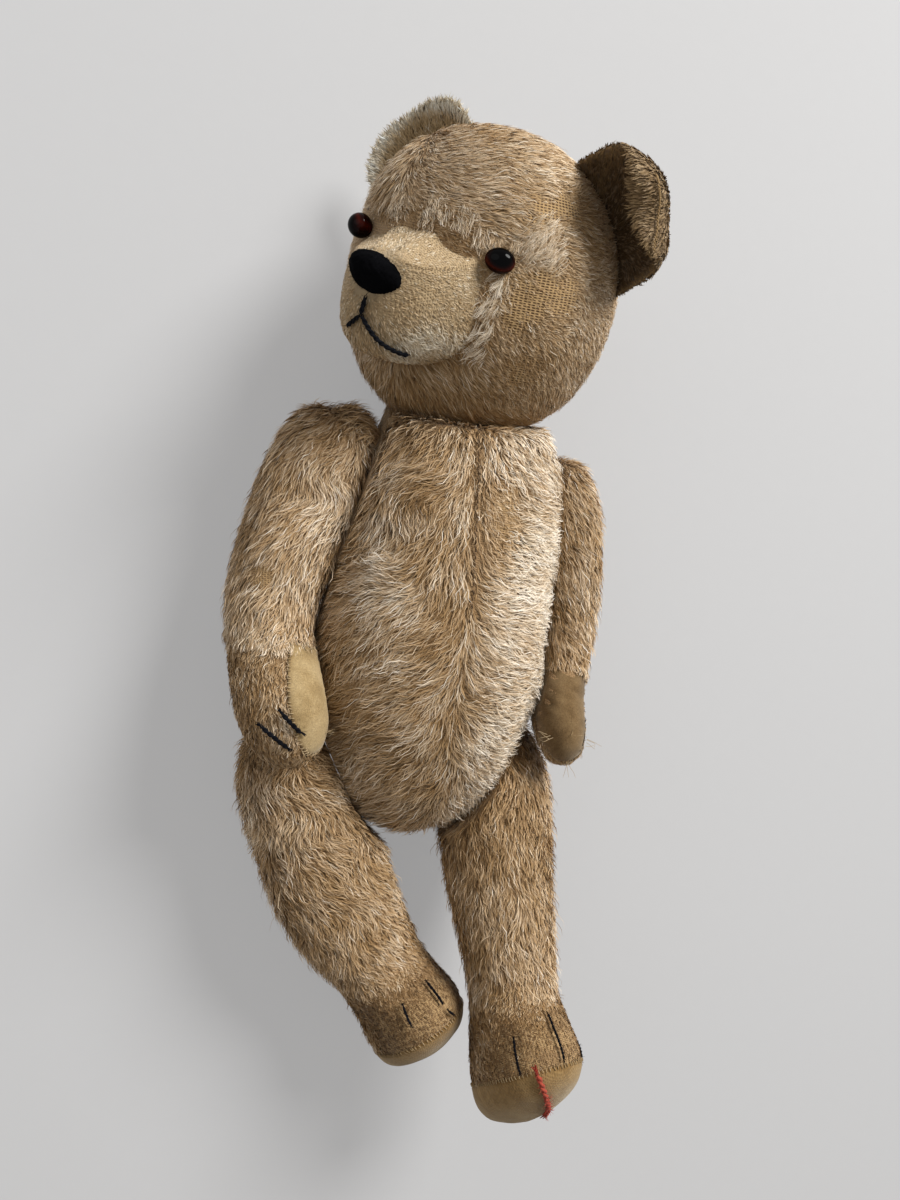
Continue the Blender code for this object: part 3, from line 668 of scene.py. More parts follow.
def mix_node(tree, fac, a, b, blend="MIX"):
    """Colour mix; fac, a and b are values or (node, output) pairs."""
    n = tree.nodes.new("ShaderNodeMix")
    n.data_type = "RGBA"
    n.blend_type = blend
    for i, v in ((0, fac), (6, a), (7, b)):
        if isinstance(v, tuple) and hasattr(v[0], "outputs"):
            tree.links.new(v[0].outputs[v[1]], n.inputs[i])
        else:
            n.inputs[i].default_value = v if i == 0 else (*v, 1.0)
    return (n, 2)


def noise_node(tree, at, scale, detail, **more):
    """Noise texture read at a (node, output) place."""
    n = tree.nodes.new("ShaderNodeTexNoise")
    for k, v in dict(more, Scale=scale, Detail=detail).items():
        n.inputs[k].default_value = v
    wire(tree, *at, n, "Vector")
    return n


def vector_node(tree, op, a, b):
    """Vector maths on two (node, output) pairs; scaling takes its factor from the second."""
    n = tree.nodes.new("ShaderNodeVectorMath")
    n.operation = op
    wire(tree, *a, n, 0)
    wire(tree, *b, n, "Scale" if op == "SCALE" else 1)
    return (n, 0)


def map_of(tree, name):
    n = tree.nodes.new("ShaderNodeUVMap")
    n.uv_map = name
    return (n, 0)


def value_of(tree, name):
    n = tree.nodes.new("ShaderNodeAttribute")
    n.attribute_name = name
    return (n, "Fac")


def range_node(tree, **ends):
    """Map Range node; its ends are given as From_Min, From_Max, To_Min and To_Max."""
    n = tree.nodes.new("ShaderNodeMapRange")
    for k, v in ends.items():
        n.inputs[k.replace("_", " ")].default_value = v
    return n


def ramp_node(tree, stops):
    """Colour ramp with a place and a colour for each stop."""
    n = tree.nodes.new("ShaderNodeValToRGB")
    while len(n.color_ramp.elements) < len(stops):
        n.color_ramp.elements.new(0.5)
    for e, (at, col) in zip(n.color_ramp.elements, stops):
        e.position = at
        e.color = (*col, 1)
    return n


def grey_node(tree, value):
    """Grey colour of a (node, output) value."""
    n = tree.nodes.new("ShaderNodeCombineColor")
    for c in range(3):
        tree.links.new(value[0].outputs[value[1]], n.inputs[c])
    return (n, 0)


def object_place(tree):
    return (tree.nodes.new("ShaderNodeTexCoord"), "Object")


def make_tones():
    """Colour of a mohair strand from its tone and the place along it."""
    g, gi, go = group("mohair_tones", [("Tone", "Float", 0.5), ("Along", "Float", 0.5),
                                       ("Root Shade", "Float", 0.5), ("Tint", "Color", (1, 1, 1, 1))],
                      [("Color", "Color")])
    ramp = ramp_node(g, [(0.0, (0.070, 0.034, 0.012)), (0.22, (0.210, 0.120, 0.050)),
                         (0.45, (0.410, 0.260, 0.120)), (0.68, (0.615, 0.460, 0.295)),
                         (0.86, (0.800, 0.685, 0.530)), (1.0, (0.940, 0.880, 0.785))])
    wire(g, gi, "Tone", ramp, 0)
    rise = range_node(g, From_Min=0.0, From_Max=0.75, To_Max=1.06)
    rise.interpolation_type = "SMOOTHSTEP"
    wire(g, gi, "Along", rise, "Value")
    wire(g, gi, "Root Shade", rise, "To Min")
    shade = g.nodes.new("ShaderNodeCombineColor")
    for k, power in enumerate((1.0, 1.16, 1.42)):
        deep = sum_node(g, "POWER", (rise, "Result"), power)
        g.links.new(deep[0].outputs[0], shade.inputs[k])
    m = mix_node(g, 1.0, (ramp, 0), (shade, 0), "MULTIPLY")
    t = mix_node(g, 1.0, m, (gi, "Tint"), "MULTIPLY")
    wire(g, t[0], t[1], go, "Color")
    return g


def make_weave():
    """Plain-woven cloth: crossing threads with small gaps at their corners."""
    g, gi, go = group("woven_cloth", [("Vector", "Vector", None), ("Threads", "Float", 60.0),
                                      ("Thread Color", "Color", (0.5, 0.36, 0.18, 1)),
                                      ("Gap Color", "Color", (0.1, 0.06, 0.03, 1)),
                                      ("Slack", "Float", 0.25), ("Open", "Float", 1.0)],
                      [("Color", "Color"), ("Height", "Float")])
    place = (gi, "Vector")
    wob = noise_node(g, place, 9.0, 3.0)
    pull = vector_node(g, "SCALE", (wob, "Color"), sum_node(g, "MULTIPLY", (gi, "Slack"), 0.05))
    sep = g.nodes.new("ShaderNodeSeparateXYZ")
    wire(g, *vector_node(g, "ADD", place, pull), sep, 0)
    x = sum_node(g, "MULTIPLY", (sep, 0), (gi, "Threads"))
    y = sum_node(g, "MULTIPLY", (sep, 1), (gi, "Threads"))
    px = sum_node(g, "MULTIPLY", x, math.pi)
    py = sum_node(g, "MULTIPLY", y, math.pi)
    wx, wy = sum_node(g, "SINE", px), sum_node(g, "SINE", py)
    sx, sy = sum_node(g, "ABSOLUTE", wx), sum_node(g, "ABSOLUTE", wy)
    over = sum_node(g, "MULTIPLY", wx, wy)
    high = sum_node(g, "MAXIMUM", sum_node(g, "POWER", sx, 0.6), sum_node(g, "POWER", sy, 0.6))
    high = sum_node(g, "MULTIPLY_ADD", over, 0.22, high)
    gap = sum_node(g, "MULTIPLY", sum_node(g, "POWER", sum_node(g, "SUBTRACT", 1.0, sx), 0.7),
                   sum_node(g, "POWER", sum_node(g, "SUBTRACT", 1.0, sy), 1.5))
    patchy = noise_node(g, place, 22.0, 2.0)
    gap = sum_node(g, "MULTIPLY", gap, sum_node(g, "MULTIPLY_ADD", (patchy, "Fac"), 6.0, -1.2))
    gap = sum_node(g, "MULTIPLY", gap, (gi, "Open"))
    gap = sum_node(g, "MINIMUM", sum_node(g, "MAXIMUM", gap, 0.0), 1.0)
    tone = noise_node(g, place, 34.0, 4.0)
    vary = range_node(g, To_Min=0.72, To_Max=1.22)
    wire(g, tone, "Fac", vary, "Value")
    lit = mix_node(g, 1.0, (gi, "Thread Color"), grey_node(g, (vary, "Result")), "MULTIPLY")
    col = mix_node(g, gap, lit, (gi, "Gap Color"))
    wire(g, col[0], col[1], go, "Color")
    wire(g, high[0], 0, go, "Height")
    return g


def make_felt():
    """Fuzzy matted fibres: soft mottling, fine fibre lines and a bump height."""
    g, gi, go = group("matted_fibre", [("Vector", "Vector", None), ("Scale", "Float", 1.0),
                                       ("Color", "Color", (0.5, 0.38, 0.2, 1)),
                                       ("Worn Color", "Color", (0.6, 0.5, 0.3, 1)),
                                       ("Soil Color", "Color", (0.25, 0.17, 0.09, 1)), ("Soil", "Float", 0.4)],
                      [("Color", "Color"), ("Height", "Float")])
    at = vector_node(g, "SCALE", (gi, "Vector"), (gi, "Scale"))
    cloud = noise_node(g, at, 5.0, 5.0, Roughness=0.65)
    fine = noise_node(g, at, 130.0, 4.0, Distortion=1.4)
    fuzz = g.nodes.new("ShaderNodeTexVoronoi")
    fuzz.feature = "DISTANCE_TO_EDGE"
    fuzz.inputs["Scale"].default_value = 75.0
    wire(g, *at, fuzz, "Vector")
    wear = range_node(g, From_Min=0.42, From_Max=0.68)
    wire(g, cloud, "Fac", wear, "Value")
    c1 = mix_node(g, (wear, 0), (gi, "Color"), (gi, "Worn Color"))
    soil = range_node(g, From_Min=0.50, From_Max=0.30)
    wire(g, cloud, "Fac", soil, "Value")
    c2 = mix_node(g, sum_node(g, "MULTIPLY", (soil, 0), (gi, "Soil")), c1, (gi, "Soil Color"))
    lines = range_node(g, From_Min=0.3, From_Max=0.7, To_Min=0.70, To_Max=1.25)
    wire(g, fine, "Fac", lines, "Value")
    c3 = mix_node(g, 1.0, c2, grey_node(g, (lines, "Result")), "MULTIPLY")
    wire(g, c3[0], c3[1], go, "Color")
    h = sum_node(g, "MULTIPLY_ADD", (fuzz, "Distance"), 0.5, (fine, "Fac"))
    wire(g, h[0], 0, go, "Height")
    return g


TONES, WEAVE, FELT = make_tones(), make_weave(), make_felt()


# ==================================================================================== materials
def finish(name, rough=0.9, metal=0.0, specular=0.3):
    m = bpy.data.materials.new(name)
    m.use_nodes = True
    b = m.node_tree.nodes["Principled BSDF"]
    b.inputs["Roughness"].default_value = rough
    b.inputs["Metallic"].default_value = metal
    b.inputs["Specular IOR Level"].default_value = specular
    return m, m.node_tree, b


def placed(tree, g, **values):
    n = tree.nodes.new("ShaderNodeGroup")
    n.node_tree = g
    for k, v in values.items():
        s = n.inputs[k.replace("_", " ")]
        s.default_value = (*v, 1.0) if isinstance(v, tuple) and len(v) == 3 else v
    return n


def bumped(tree, b, height, strength, distance):
    n = tree.nodes.new("ShaderNodeBump")
    n.inputs["Strength"].default_value = strength
    n.inputs["Distance"].default_value = distance
    tree.links.new(height[0].outputs[height[1]], n.inputs["Height"])
    tree.links.new(n.outputs[0], b.inputs["Normal"])


def pile_finish(name, tint=(1.0, 1.0, 1.0), root=0.5, sheen=0.10, rough=0.52):
    m, t, b = finish(name, rough, 0.0, 0.38)
    b.inputs["Specular Tint"].default_value = (1.0, 0.88, 0.72, 1)
    sep = t.nodes.new("ShaderNodeSeparateXYZ")
    wire(t, *map_of(t, "OFBake"), sep, 0)
    g = placed(t, TONES, Root_Shade=root, Tint=tint)
    wire(t, sep, 0, g, "Tone")
    wire(t, sep, 1, g, "Along")
    wire(t, g, "Color", b, "Base Color")
    b.inputs["Sheen Weight"].default_value = sheen
    b.inputs["Sheen Roughness"].default_value = 0.4
    b.inputs["Sheen Tint"].default_value = (1.0, 0.93, 0.82, 1)
    return m


def backing_finish(name, under, thread, gap, threads=78.0, open_weave=1.0, ribs=1.0):
    """Woven backing: painted shade between the roots, golden cloth where the pile has gone."""
    m, t, b = finish(name, 0.92, 0.0, 0.15)
    uv = map_of(t, "cloth")
    wv = placed(t, WEAVE, Threads=threads, Thread_Color=thread, Gap_Color=gap, Open=open_weave)
    ribbed = t.nodes.new("ShaderNodeVectorMath")
    ribbed.operation = "MULTIPLY"
    ribbed.inputs[1].default_value = (ribs, 1.0, 1.0)
    wire(t, *uv, ribbed, 0)
    wire(t, ribbed, 0, wv, "Vector")
    no = noise_node(t, uv, 14.0, 5.0)
    f = sum_node(t, "MULTIPLY_ADD", sum_node(t, "SUBTRACT", (no, "Fac"), 0.5), 0.9, value_of(t, "bare"))
    f = sum_node(t, "MINIMUM", sum_node(t, "MAXIMUM", f, 0.0), 1.0)
    c = mix_node(t, f, under, (wv, "Color"))
    t.links.new(c[0].outputs[2], b.inputs["Base Color"])
    bumped(t, b, (wv, "Height"), 0.7, 0.0008)
    b.inputs["Sheen Weight"].default_value = 0.15
    return m


def cloth_finish(name, base, worn, soil, weave=0.0, amount=0.4, threads=110.0):
    m, t, b = finish(name, 0.93, 0.0, 0.12)
    uv = map_of(t, "cloth")
    g = placed(t, FELT, Color=base, Worn_Color=worn, Soil_Color=soil, Soil=amount)
    wire(t, *uv, g, "Vector")
    col, high = (g, "Color"), (g, "Height")
    if weave:
        wv = placed(t, WEAVE, Threads=threads, Thread_Color=(1.0, 1.0, 1.0), Gap_Color=(0.45, 0.36, 0.25),
                    Slack=0.15)
        wire(t, *uv, wv, "Vector")
        col = mix_node(t, weave, col, mix_node(t, 1.0, col, (wv, "Color"), "MULTIPLY"))
        high = sum_node(t, "MULTIPLY_ADD", (wv, "Height"), 1.5, high)
    dark = mix_node(t, 1.0, col, (0.62, 0.52, 0.40), "MULTIPLY")
    c = mix_node(t, sum_node(t, "MULTIPLY", value_of(t, "edge"), 0.5), col, dark)
    t.links.new(c[0].outputs[2], b.inputs["Base Color"])
    bumped(t, b, high, 0.35, 0.0005)
    b.inputs["Sheen Weight"].default_value = 0.35
    b.inputs["Sheen Roughness"].default_value = 0.5
    b.inputs["Sheen Tint"].default_value = (1.0, 0.92, 0.75, 1)
    return m


def mottled(tree, b, base, light, scale, deep, strength, distance):
    """Base colour and bump of matted fibre, with hollows at `deep` of the base colour."""
    g = placed(tree, FELT, Scale=scale, Color=base, Worn_Color=light,
               Soil_Color=tuple(deep * v for v in base), Soil=1.0 - deep)
    wire(tree, *object_place(tree), g, "Vector")
    wire(tree, g, "Color", b, "Base Color")
    bumped(tree, b, (g, "Height"), strength, distance)


def yarn_finish(name, base, light, scale=6.0, rough=0.85, sheen=0.08, specular=0.12):
    m, t, b = finish(name, rough, 0.0, specular)
    mottled(t, b, base, light, scale, 0.5, 0.4, 0.0003)
    b.inputs["Sheen Weight"].default_value = sheen
    return m


def glass_finish():
    """Dark ruby-brown glass eye with a black middle."""
    m, t, b = finish("eye_glass_ruby", 0.10, 0.0, 0.01)
    no = noise_node(t, object_place(t), 260.0, 3.0)
    f = sum_node(t, "MULTIPLY_ADD", sum_node(t, "SUBTRACT", (no, "Fac"), 0.5), 0.10, value_of(t, "rim"))
    ramp = ramp_node(t, [(0.0, (0.0006, 0.0005, 0.0006)), (0.50, (0.0010, 0.0007, 0.0007)),
                         (0.66, (0.010, 0.0016, 0.001)), (0.86, (0.060, 0.0060, 0.0025)),
                         (1.0, (0.014, 0.0025, 0.0015))])
    t.links.new(f[0].outputs[0], ramp.inputs[0])
    wire(t, ramp, 0, b, "Base Color")
    b.inputs["Coat Weight"].default_value = 0.12
    b.inputs["Coat Roughness"].default_value = 0.04
    return m


def hardware_finish(name, base, light, rough, metal, scale):
    m, t, b = finish(name, rough, metal, 0.4)
    mottled(t, b, base, light, scale, 0.4, 0.2, 0.0002)
    return m


LONG_PILE = pile_finish("mohair_long", (1.0, 0.985, 0.96), 0.62)
SHORT_PILE = pile_finish("mohair_short", (1.0, 0.985, 0.95), 0.60)
SNOUT_PILE = pile_finish("mohair_snout", (0.985, 1.01, 0.99), 0.68)
EAR_PILE = pile_finish("mohair_ear", (0.95, 1.05, 1.15), 0.80)
# the first colour of each backing is painted shade, seen between the roots of its pile
BACKING = backing_finish("woven_backing", (0.27, 0.170, 0.084), (0.41, 0.272, 0.132), (0.12, 0.066, 0.027))
FACE_BACKING = backing_finish("woven_backing_face", (0.33, 0.220, 0.118), (0.45, 0.30, 0.145),
                              (0.072, 0.035, 0.013), 75.0, 2.2, 0.85)
SNOUT_BACKING = backing_finish("woven_backing_snout", (0.40, 0.30, 0.175), (0.48, 0.355, 0.205),
                               (0.24, 0.155, 0.082), 80.0, 0.8)
EAR_BACKING = backing_finish("woven_backing_ear", (0.190, 0.128, 0.073), (0.50, 0.335, 0.168),
                             (0.10, 0.052, 0.022))
PAW_FELT = cloth_finish("felt_mustard", (0.34, 0.240, 0.112), (0.44, 0.33, 0.175), (0.18, 0.115, 0.048))
# the left paw's felt is darker all over: soil, and painted shade for the shadow it lies in
SOILED_SHADED_FELT = cloth_finish("felt_mustard_soiled_shaded", (0.142, 0.086, 0.036), (0.200, 0.131, 0.062),
                           (0.070, 0.041, 0.016), amount=0.6)
SOLE_CLOTH = cloth_finish("sole_cloth", (0.275, 0.168, 0.062), (0.36, 0.240, 0.105), (0.14, 0.080, 0.028),
                          weave=0.6, threads=84.0)
DARK_YARN = yarn_finish("yarn_blue_black", (0.0035, 0.0038, 0.0055), (0.010, 0.011, 0.015), sheen=0.02,
                        specular=0.06)
NOSE_YARN = yarn_finish("yarn_nose", (0.0012, 0.0012, 0.0015), (0.0035, 0.0035, 0.0045), 8.0, 1.0, 0.0, 0.03)
RED_YARN = yarn_finish("yarn_red", (0.30, 0.034, 0.020), (0.42, 0.085, 0.052))
TAN_YARN = yarn_finish("yarn_tan", (0.40, 0.29, 0.15), (0.55, 0.43, 0.27))
GOLD_YARN = yarn_finish("yarn_golden", (0.33, 0.215, 0.095), (0.45, 0.31, 0.155))
BROWN_YARN = yarn_finish("yarn_brown", (0.10, 0.060, 0.032), (0.20, 0.13, 0.07))
GLASS = glass_finish()
BOARD = hardware_finish("joint_board", (0.22, 0.14, 0.08), (0.32, 0.22, 0.13), 0.85, 0.0, 4.0)
STEEL = hardware_finish("joint_steel", (0.45, 0.44, 0.42), (0.55, 0.53, 0.50), 0.42, 1.0, 10.0)

for node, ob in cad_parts.items():
    mat = BOARD if node.startswith("disc_") else STEEL if node.startswith(("washer_", "pin_")) else None
    if mat:
        for s in ob.material_slots:
            s.material = mat


# ==================================================================================== thread work
def surface_of(form):
    tri = form["tris"]
    return BVHTree.FromPolygons(form["pts"].tolist(), tri.tolist(), all_triangles=True)


def smooth_path(points, per):
    return ease_rows([tuple(p) for p in points], per)


def tube(path, radius, sides=7, face=None):
    """Rings of a round yarn along a path; radius is one number or one for each point."""
    n = len(path)
    r = np.broadcast_to(np.asarray(radius, float), (n,))
    tan = unit(np.gradient(path, axis=0))
    ref = unit(face) if face is not None else unit(np.cross(tan, (0.31, 0.87, 0.37)))
    side = unit(np.cross(tan, ref))
    up = np.cross(side, tan)
    a = 2 * np.pi * np.arange(sides) / sides
    return path[:, None] + side[:, None] * (np.cos(a)[:, None] * r[:, None, None]) \
        + up[:, None] * (np.sin(a)[:, None] * r[:, None, None])


def joined(parts):
    """One set of points and faces from several closed forms."""
    pts, quads, caps, at = [], [], [], 0
    for f in parts:
        pts.append(f["pts"])
        quads.append(f["quads"] + at)
        caps.append(f["caps"] + at)
        at += len(f["pts"])
    return np.concatenate(pts), [np.concatenate(quads), np.concatenate(caps)]


def yarn_object(name, parts, body, mat, place=None, replaces=()):
    pts, faces = joined(parts)
    pts = place(pts) if place else pts
    return mesh_object(name, above_ground(laid(pts)), faces, body, mat, replaces)


def plied(path, face, radius, plies=2, pitch=5.5, fray=0.0, seed=1):
    """Twisted yarn: plies wound round the path, sinking at both ends, loose hairs about it."""
    rng = np.random.default_rng(seed)
    n = len(path)
    step_len = np.linalg.norm(np.diff(path, axis=0), axis=1)
    s = np.r_[0, np.cumsum(step_len)]
    tan = unit(np.gradient(path, axis=0))
    side = unit(np.cross(tan, face))
    up = np.cross(side, tan)
    ends = np.clip(np.minimum(s, s[-1] - s) / (radius * 1.6), 0.35, 1)
    parts = []
    for k in range(plies):
        a = 2 * np.pi * (s / (radius * pitch) + k / plies)
        off = side * (np.cos(a) * radius * 0.46)[:, None] + up * (np.sin(a) * radius * 0.46)[:, None]
        sink = -up * ((1 - ends) * radius * 0.8)[:, None]
        parts.append(closed(tube(path + off + sink, radius * 0.60 * ends, 7, up)))
    for _ in range(int(s[-1] * 1.2) + 3):
        i = rng.integers(1, n - 1)
        d = unit(side[i] * rng.normal() + up[i] * abs(rng.normal()) + tan[i] * rng.normal() * 1.4)
        ln = radius * rng.uniform(1.2, 2.6)
        bend = unit(d + up[i] * -0.5)
        p = np.array([path[i] + d * radius * 0.6, path[i] + d * (radius * 0.6 + ln * 0.5),
                      path[i] + d * (radius * 0.6 + ln * 0.5) + bend * ln * 0.5])
        parts.append(closed(tube(p, np.array((0.10, 0.08, 0.03)) * max(1, radius), 4)))
    if fray:
        for end, t in ((0, -tan[0]), (n - 1, tan[-1])):
            for _ in range(5):
                d = unit(t + side[end] * rng.normal() * 0.5 + up[end] * rng.uniform(-0.3, 0.5))
                ln = fray * rng.uniform(0.6, 1.2)
                m = path[end] + d * ln * 0.5 + side[end] * rng.normal() * 0.3
                p = np.array([path[end] - t * 1.0, m, path[end] + d * ln + up[end] * rng.uniform(-0.4, 0.3)])
                parts.append(closed(tube(ease_rows(p, 3), np.linspace(0.32, 0.12, 7) * radius, 5)))
    return parts


def laid_yarn(name, node, tree, points, radius, body, mat, place=None, lift=0.3, fray=0.0,
              seed=1):
    """Yarn lying on a surface, standing for its CAD node."""
    path, face = [], []
    for p in smooth_path(points, 14):
        co, no, _, _ = tree.find_nearest(Vector(p))
        path.append(np.array(co) + np.array(no) * (radius + lift))
        face.append(np.array(no))
    path, face = np.array(path), np.array(face)
    for _ in range(3):
        path[1:-1] = (path[:-2] + path[1:-1] * 2 + path[2:]) / 4
        face[1:-1] = (face[:-2] + face[1:-1] * 2 + face[2:]) / 4
    plies = plied(path, unit(face), radius, fray=fray, seed=seed)
    return yarn_object(name, plies, body, mat, place, (node,))


def stitches(name, pairs, face, radius, body, mat, place=None, arch=0.5):
    """Short hand stitches, each from one point to another, arched a little off the cloth."""
    parts = []
    for (a, b), f in zip(pairs, face):
        a, b = np.array(a), np.array(b)
        u = np.linspace(0, 1, 6)[:, None]
        rise = np.sin(np.pi * u) * arch - 0.35 * np.cos(np.pi * (2 * u - 1)) ** 2 * 0.4
        p = a + (b - a) * u + np.array(f) * rise
        r = radius * np.array((0.5, 0.95, 1.0, 1.0, 0.95, 0.5))
        parts.append(closed(tube(p, r, 5)))
    return yarn_object(name, parts, body, mat, place)


def sewn_row(name, tree, line, lift, half, radius, mat, arch):
    """One slanting stitch on each step of a line, on the nearest surface (head frame).

    half is how far a stitch reaches from its middle: along the line, and across it.
    """
    pairs, faces = [], []
    for a, b in zip(line[:-1], line[1:]):
        co, no, _, _ = tree.find_nearest(Vector(a))
        along, no = unit(b - a), np.array(no)
        across = unit(np.cross(no, along))
        mid = np.array(co) + no * lift
        pairs.append((mid - along * half[0] - across * half[1], mid + along * half[0] + across * half[1]))
        faces.append(no)
    return stitches(name, pairs, faces, radius, "head_part", mat, head_to_bear, arch)


# ==================================================================================== body
def seam_x(z):
    return np.interp(-z, (27, 62, 97, 120, 143, 178, 209, 237, 262), (-8, -5, -3, -2, -3, -4, -2, 0, 2))


def torso_flow(p, n):
    z = -p[:, 2]
    off = p[:, 0] - seam_x(p[:, 2])
    side = np.tanh(off / 13.0)
    around = unit(np.cross(UP, n))
    left = np.interp(z, (0, 40, 70, 110, 200, 240, 275), (60, 45, 22, 14, 16, 35, 50))
    right = np.interp(z, (0, 50, 95, 122, 150, 200, 250, 275), (85, 80, 62, 28, 46, 42, 38, 45))
    down = np.radians(np.where(off > 0, left, right))
    back = step(p[:, 1], 5, 45)
    down = down * (1 - back) + math.radians(78) * back
    return around * (side * np.cos(down))[:, None] - UP * np.sin(down)[:, None]


def torso_turn(p, n):
    d = mottle(p, 30, 11)
    e = drift(p, 15, 12)[:, 1]
    left = p[:, 0] > seam_x(p[:, 2])
    chest = ball(p, (-46, -48, -74), 44, 0.5)
    amp = np.where(left, 22, 30) + 50 * chest * ~left
    curl = mottle(p, 7, 13)
    return (np.radians(amp) * d + np.radians(np.where(left, 16, 26) + 14 * chest) * e
            + np.radians(np.where(left, 12, 20)) * curl)


def worn_chest(p):
    d = np.hypot((p[:, 0] - 13) / 15, (p[:, 2] + 70) / 34)
    return (1 - step(d, 0.30, 1.25)) * (p[:, 1] < 0)


def trunk_hidden(p):
    out = np.zeros(len(p))
    for joint in JOINTS:
        h, r, _, _ = heights(p, joint)
        reach = {"neck": 41, "shoulder_left": 20}.get(joint, 22)
        out = np.maximum(out, (h > -2.6) & (r < reach))
    return out > 0


def torso_density(p, n):
    seam = np.abs(p[:, 0] - seam_x(p[:, 2]))
    thin = 1 - 0.62 * worn_chest(p) * (0.7 + 0.6 * mottle(p, 6, 15))
    split = np.where(p[:, 2] > -118, 0.03, 0.80)
    thin = thin * (split + (1 - split) * step(seam, 0.8, 3.2))
    thin = thin * (0.80 + 0.35 * mottle(p, 14, 5))
    return np.where(trunk_hidden(p), 0, thin)


def torso_length(p, n):
    d = 15.5 + 2.5 * mottle(p, 22, 21)
    d = d * (1 - 0.62 * worn_chest(p))
    seam = np.abs(p[:, 0] - seam_x(p[:, 2]))
    d = d * (1 - 0.45 * step(seam, 5, 1) * (p[:, 2] > -120) * (p[:, 1] < 0))
    return d * (1 - 0.40 * step(p[:, 2], -45, -5) * (0.6 + 0.4 * step(p[:, 0], -45, -20)))


PALE_CHEST = [((-47, -46, -52), 11), ((-57, -44, -84), 11), ((-50, -54, -100), 10), ((-56, -48, -120), 12),
              ((-38, -66, -124), 11), ((-52, -57, -140), 11), ((-38, -68, -156), 12), ((-35, -66, -184), 10)]
# painted shade: darker spots for the hollows among the tufts of the chest
SHADED_HOLLOWS_CHEST = [((-30, -62, -89), 11), ((-18, -70, -122), 11), ((-18, -72, -146), 12), ((-28, -58, -62), 9)]


def any_ball(p, spots, soft=0.7):
    return np.max([ball(p, at, r, soft) for at, r in spots], axis=0)


def torso_tone(p, n):
    x, z = p[:, 0], p[:, 2]
    t = 0.52 + 0.14 * mottle(p, 22, 31) + 0.10 * mottle(p, 9, 32)
    # painted light: the bear's left front is lighter, more so low on the belly, for the light that falls on that
    # side
    lit = step(x, -10, 22) * (p[:, 1] < 6)
    t = t + lit * (0.24 + 0.07 * step(-z, 60, 125)) + 0.04 * step(z, -40, -10) + 0.05 * mottle(p, 5, 33)
    # painted shade: the top of the body about the neck, darker in the crease under the head, less so at its right
    # corner
    h, r, _, _ = heights(p, "neck")
    t = t - 0.28 * (1 - step(r, 46, 53)) * (h > -6) * step(x, -44, -30)
    t = t + 0.17 * any_ball(p, PALE_CHEST) - 0.12 * any_ball(p, SHADED_HOLLOWS_CHEST) - 0.05 * worn_chest(p)
    t = t + 0.06 * step(-z, 190, 250)
    seam = np.abs(x - seam_x(z))
    return t - np.where(z > -125, 0.10, 0.03) * (1 - step(seam, 0.5, 4)) * (p[:, 1] < 0)


def torso_lift(p, n):
    near = np.max([by_face(p, j) for j in ("hip_right", "hip_left", "shoulder_right", "shoulder_left")], axis=0)
    corner = step(p[:, 0], -30, -48) * step(p[:, 2], -34, -12)
    return 0.29 + 0.45 * near + 0.20 * corner + 0.20 * by_face(p, "neck", 75, 12) * (p[:, 1] < 20)


body = closed(torso_form(TRUNK_INSET))
body["pts"][:, 0] -= 5.5 * step(body["pts"][:, 2], -40, 0) * step(body["pts"][:, 0], 12, 45)
body["pts"] = clear_trunk(body["pts"], SKIN_GAP)
body = recomputed(body)
bare = np.clip(worn_chest(body["pts"]) * 0.7, 0, 1)
skin_object("torso_backing", body, "trunk", BACKING, lambda p: p, ("torso",), bare)
coat("torso_pile", body, "trunk", "pile", LONG_PILE, down=11000, top=22000, guard=4000, length=torso_length,
     flow=torso_flow, tone=torso_tone, density=lambda p, n: torso_density(p, n) * (p[:, 1] < 14), lift=torso_lift,
     width=0.44, down_width=0.95, lock=3.4, pull=0.5, wave=1.15, stray=15, seed=101, clear=clear_trunk_pile,
     turn=torso_turn, under=0.35, spread=0.12, pale=0.16)
pile("torso_corner_tufts", body, "trunk", "pile", LONG_PILE, count=1100, length=12.5, lift=0.62, tone=0.50,
     flow=leaning((-0.8, -0.1, 0.6), 0.4, 9, 99),
     density=lambda p, n: ball(p, (-52, 4, -18), 20, 0.6) + 1e-9, width=0.48, segs=3, lock=3.0, pull=0.5,
     wave=0.8, stray=20, seed=103, clear=lambda p: clear_trunk(p, 0.1, 10.0), under=0.8, spread=0.10)
pile("torso_back_pile", body, "trunk", "pile", LONG_PILE, count=6000, length=14, flow=torso_flow, tone=0.56,
     density=lambda p, n: torso_density(p, n) * (p[:, 1] >= 14), lift=0.22, width=1.25, segs=2, lock=6,
     wave=0.7, stray=18, seed=102, clear=clear_trunk, under=0.35)

# centre front seam: a line of dark hand stitches, clearest on the chest
front = surface_of(closed(torso_form(-1.9)))
pairs, faces = [], []
rng = np.random.default_rng(7)
for i in range(29):
    z = -14 - i * 4.2 + rng.normal(0, 0.4)
    x = float(seam_x(np.array(z)))
    size = 1.7 if z > -100 else 1.15
    a, no, _, _ = front.find_nearest(Vector((x - 0.5, -70, z + size)))
    b, _, _, _ = front.find_nearest(Vector((x + 0.6 + rng.normal(0, 0.2), -70, z - size)))
    pairs.append((a, b))
    faces.append(no)
stitches("chest_seam_stitches", pairs, faces, 0.50, "trunk", BROWN_YARN, arch=1.5)


# ==================================================================================== head
EYE_DIRS = {side: unit((side * EYE_AT[0], EYE_AT[1], EYE_AT[2])) for side in (-1, 1)}
EYE_MIDS = {side: d * head_radius(d) + d * EYE_OUT for side, d in EYE_DIRS.items()}


def in_muzzle(p):
    """Below 1 inside the muzzle's outline, seen from the front."""
    _, mid, half_wide, half_high = MUZZLE[0]
    x = np.abs(p[:, 0] - MUZZLE_X) / half_wide
    z = np.abs(p[:, 2] - mid) / half_high
    d = (x ** 2.5 + z ** 2.5) ** 0.4
    return np.where(p[:, 1] < -20, d, 9.0)


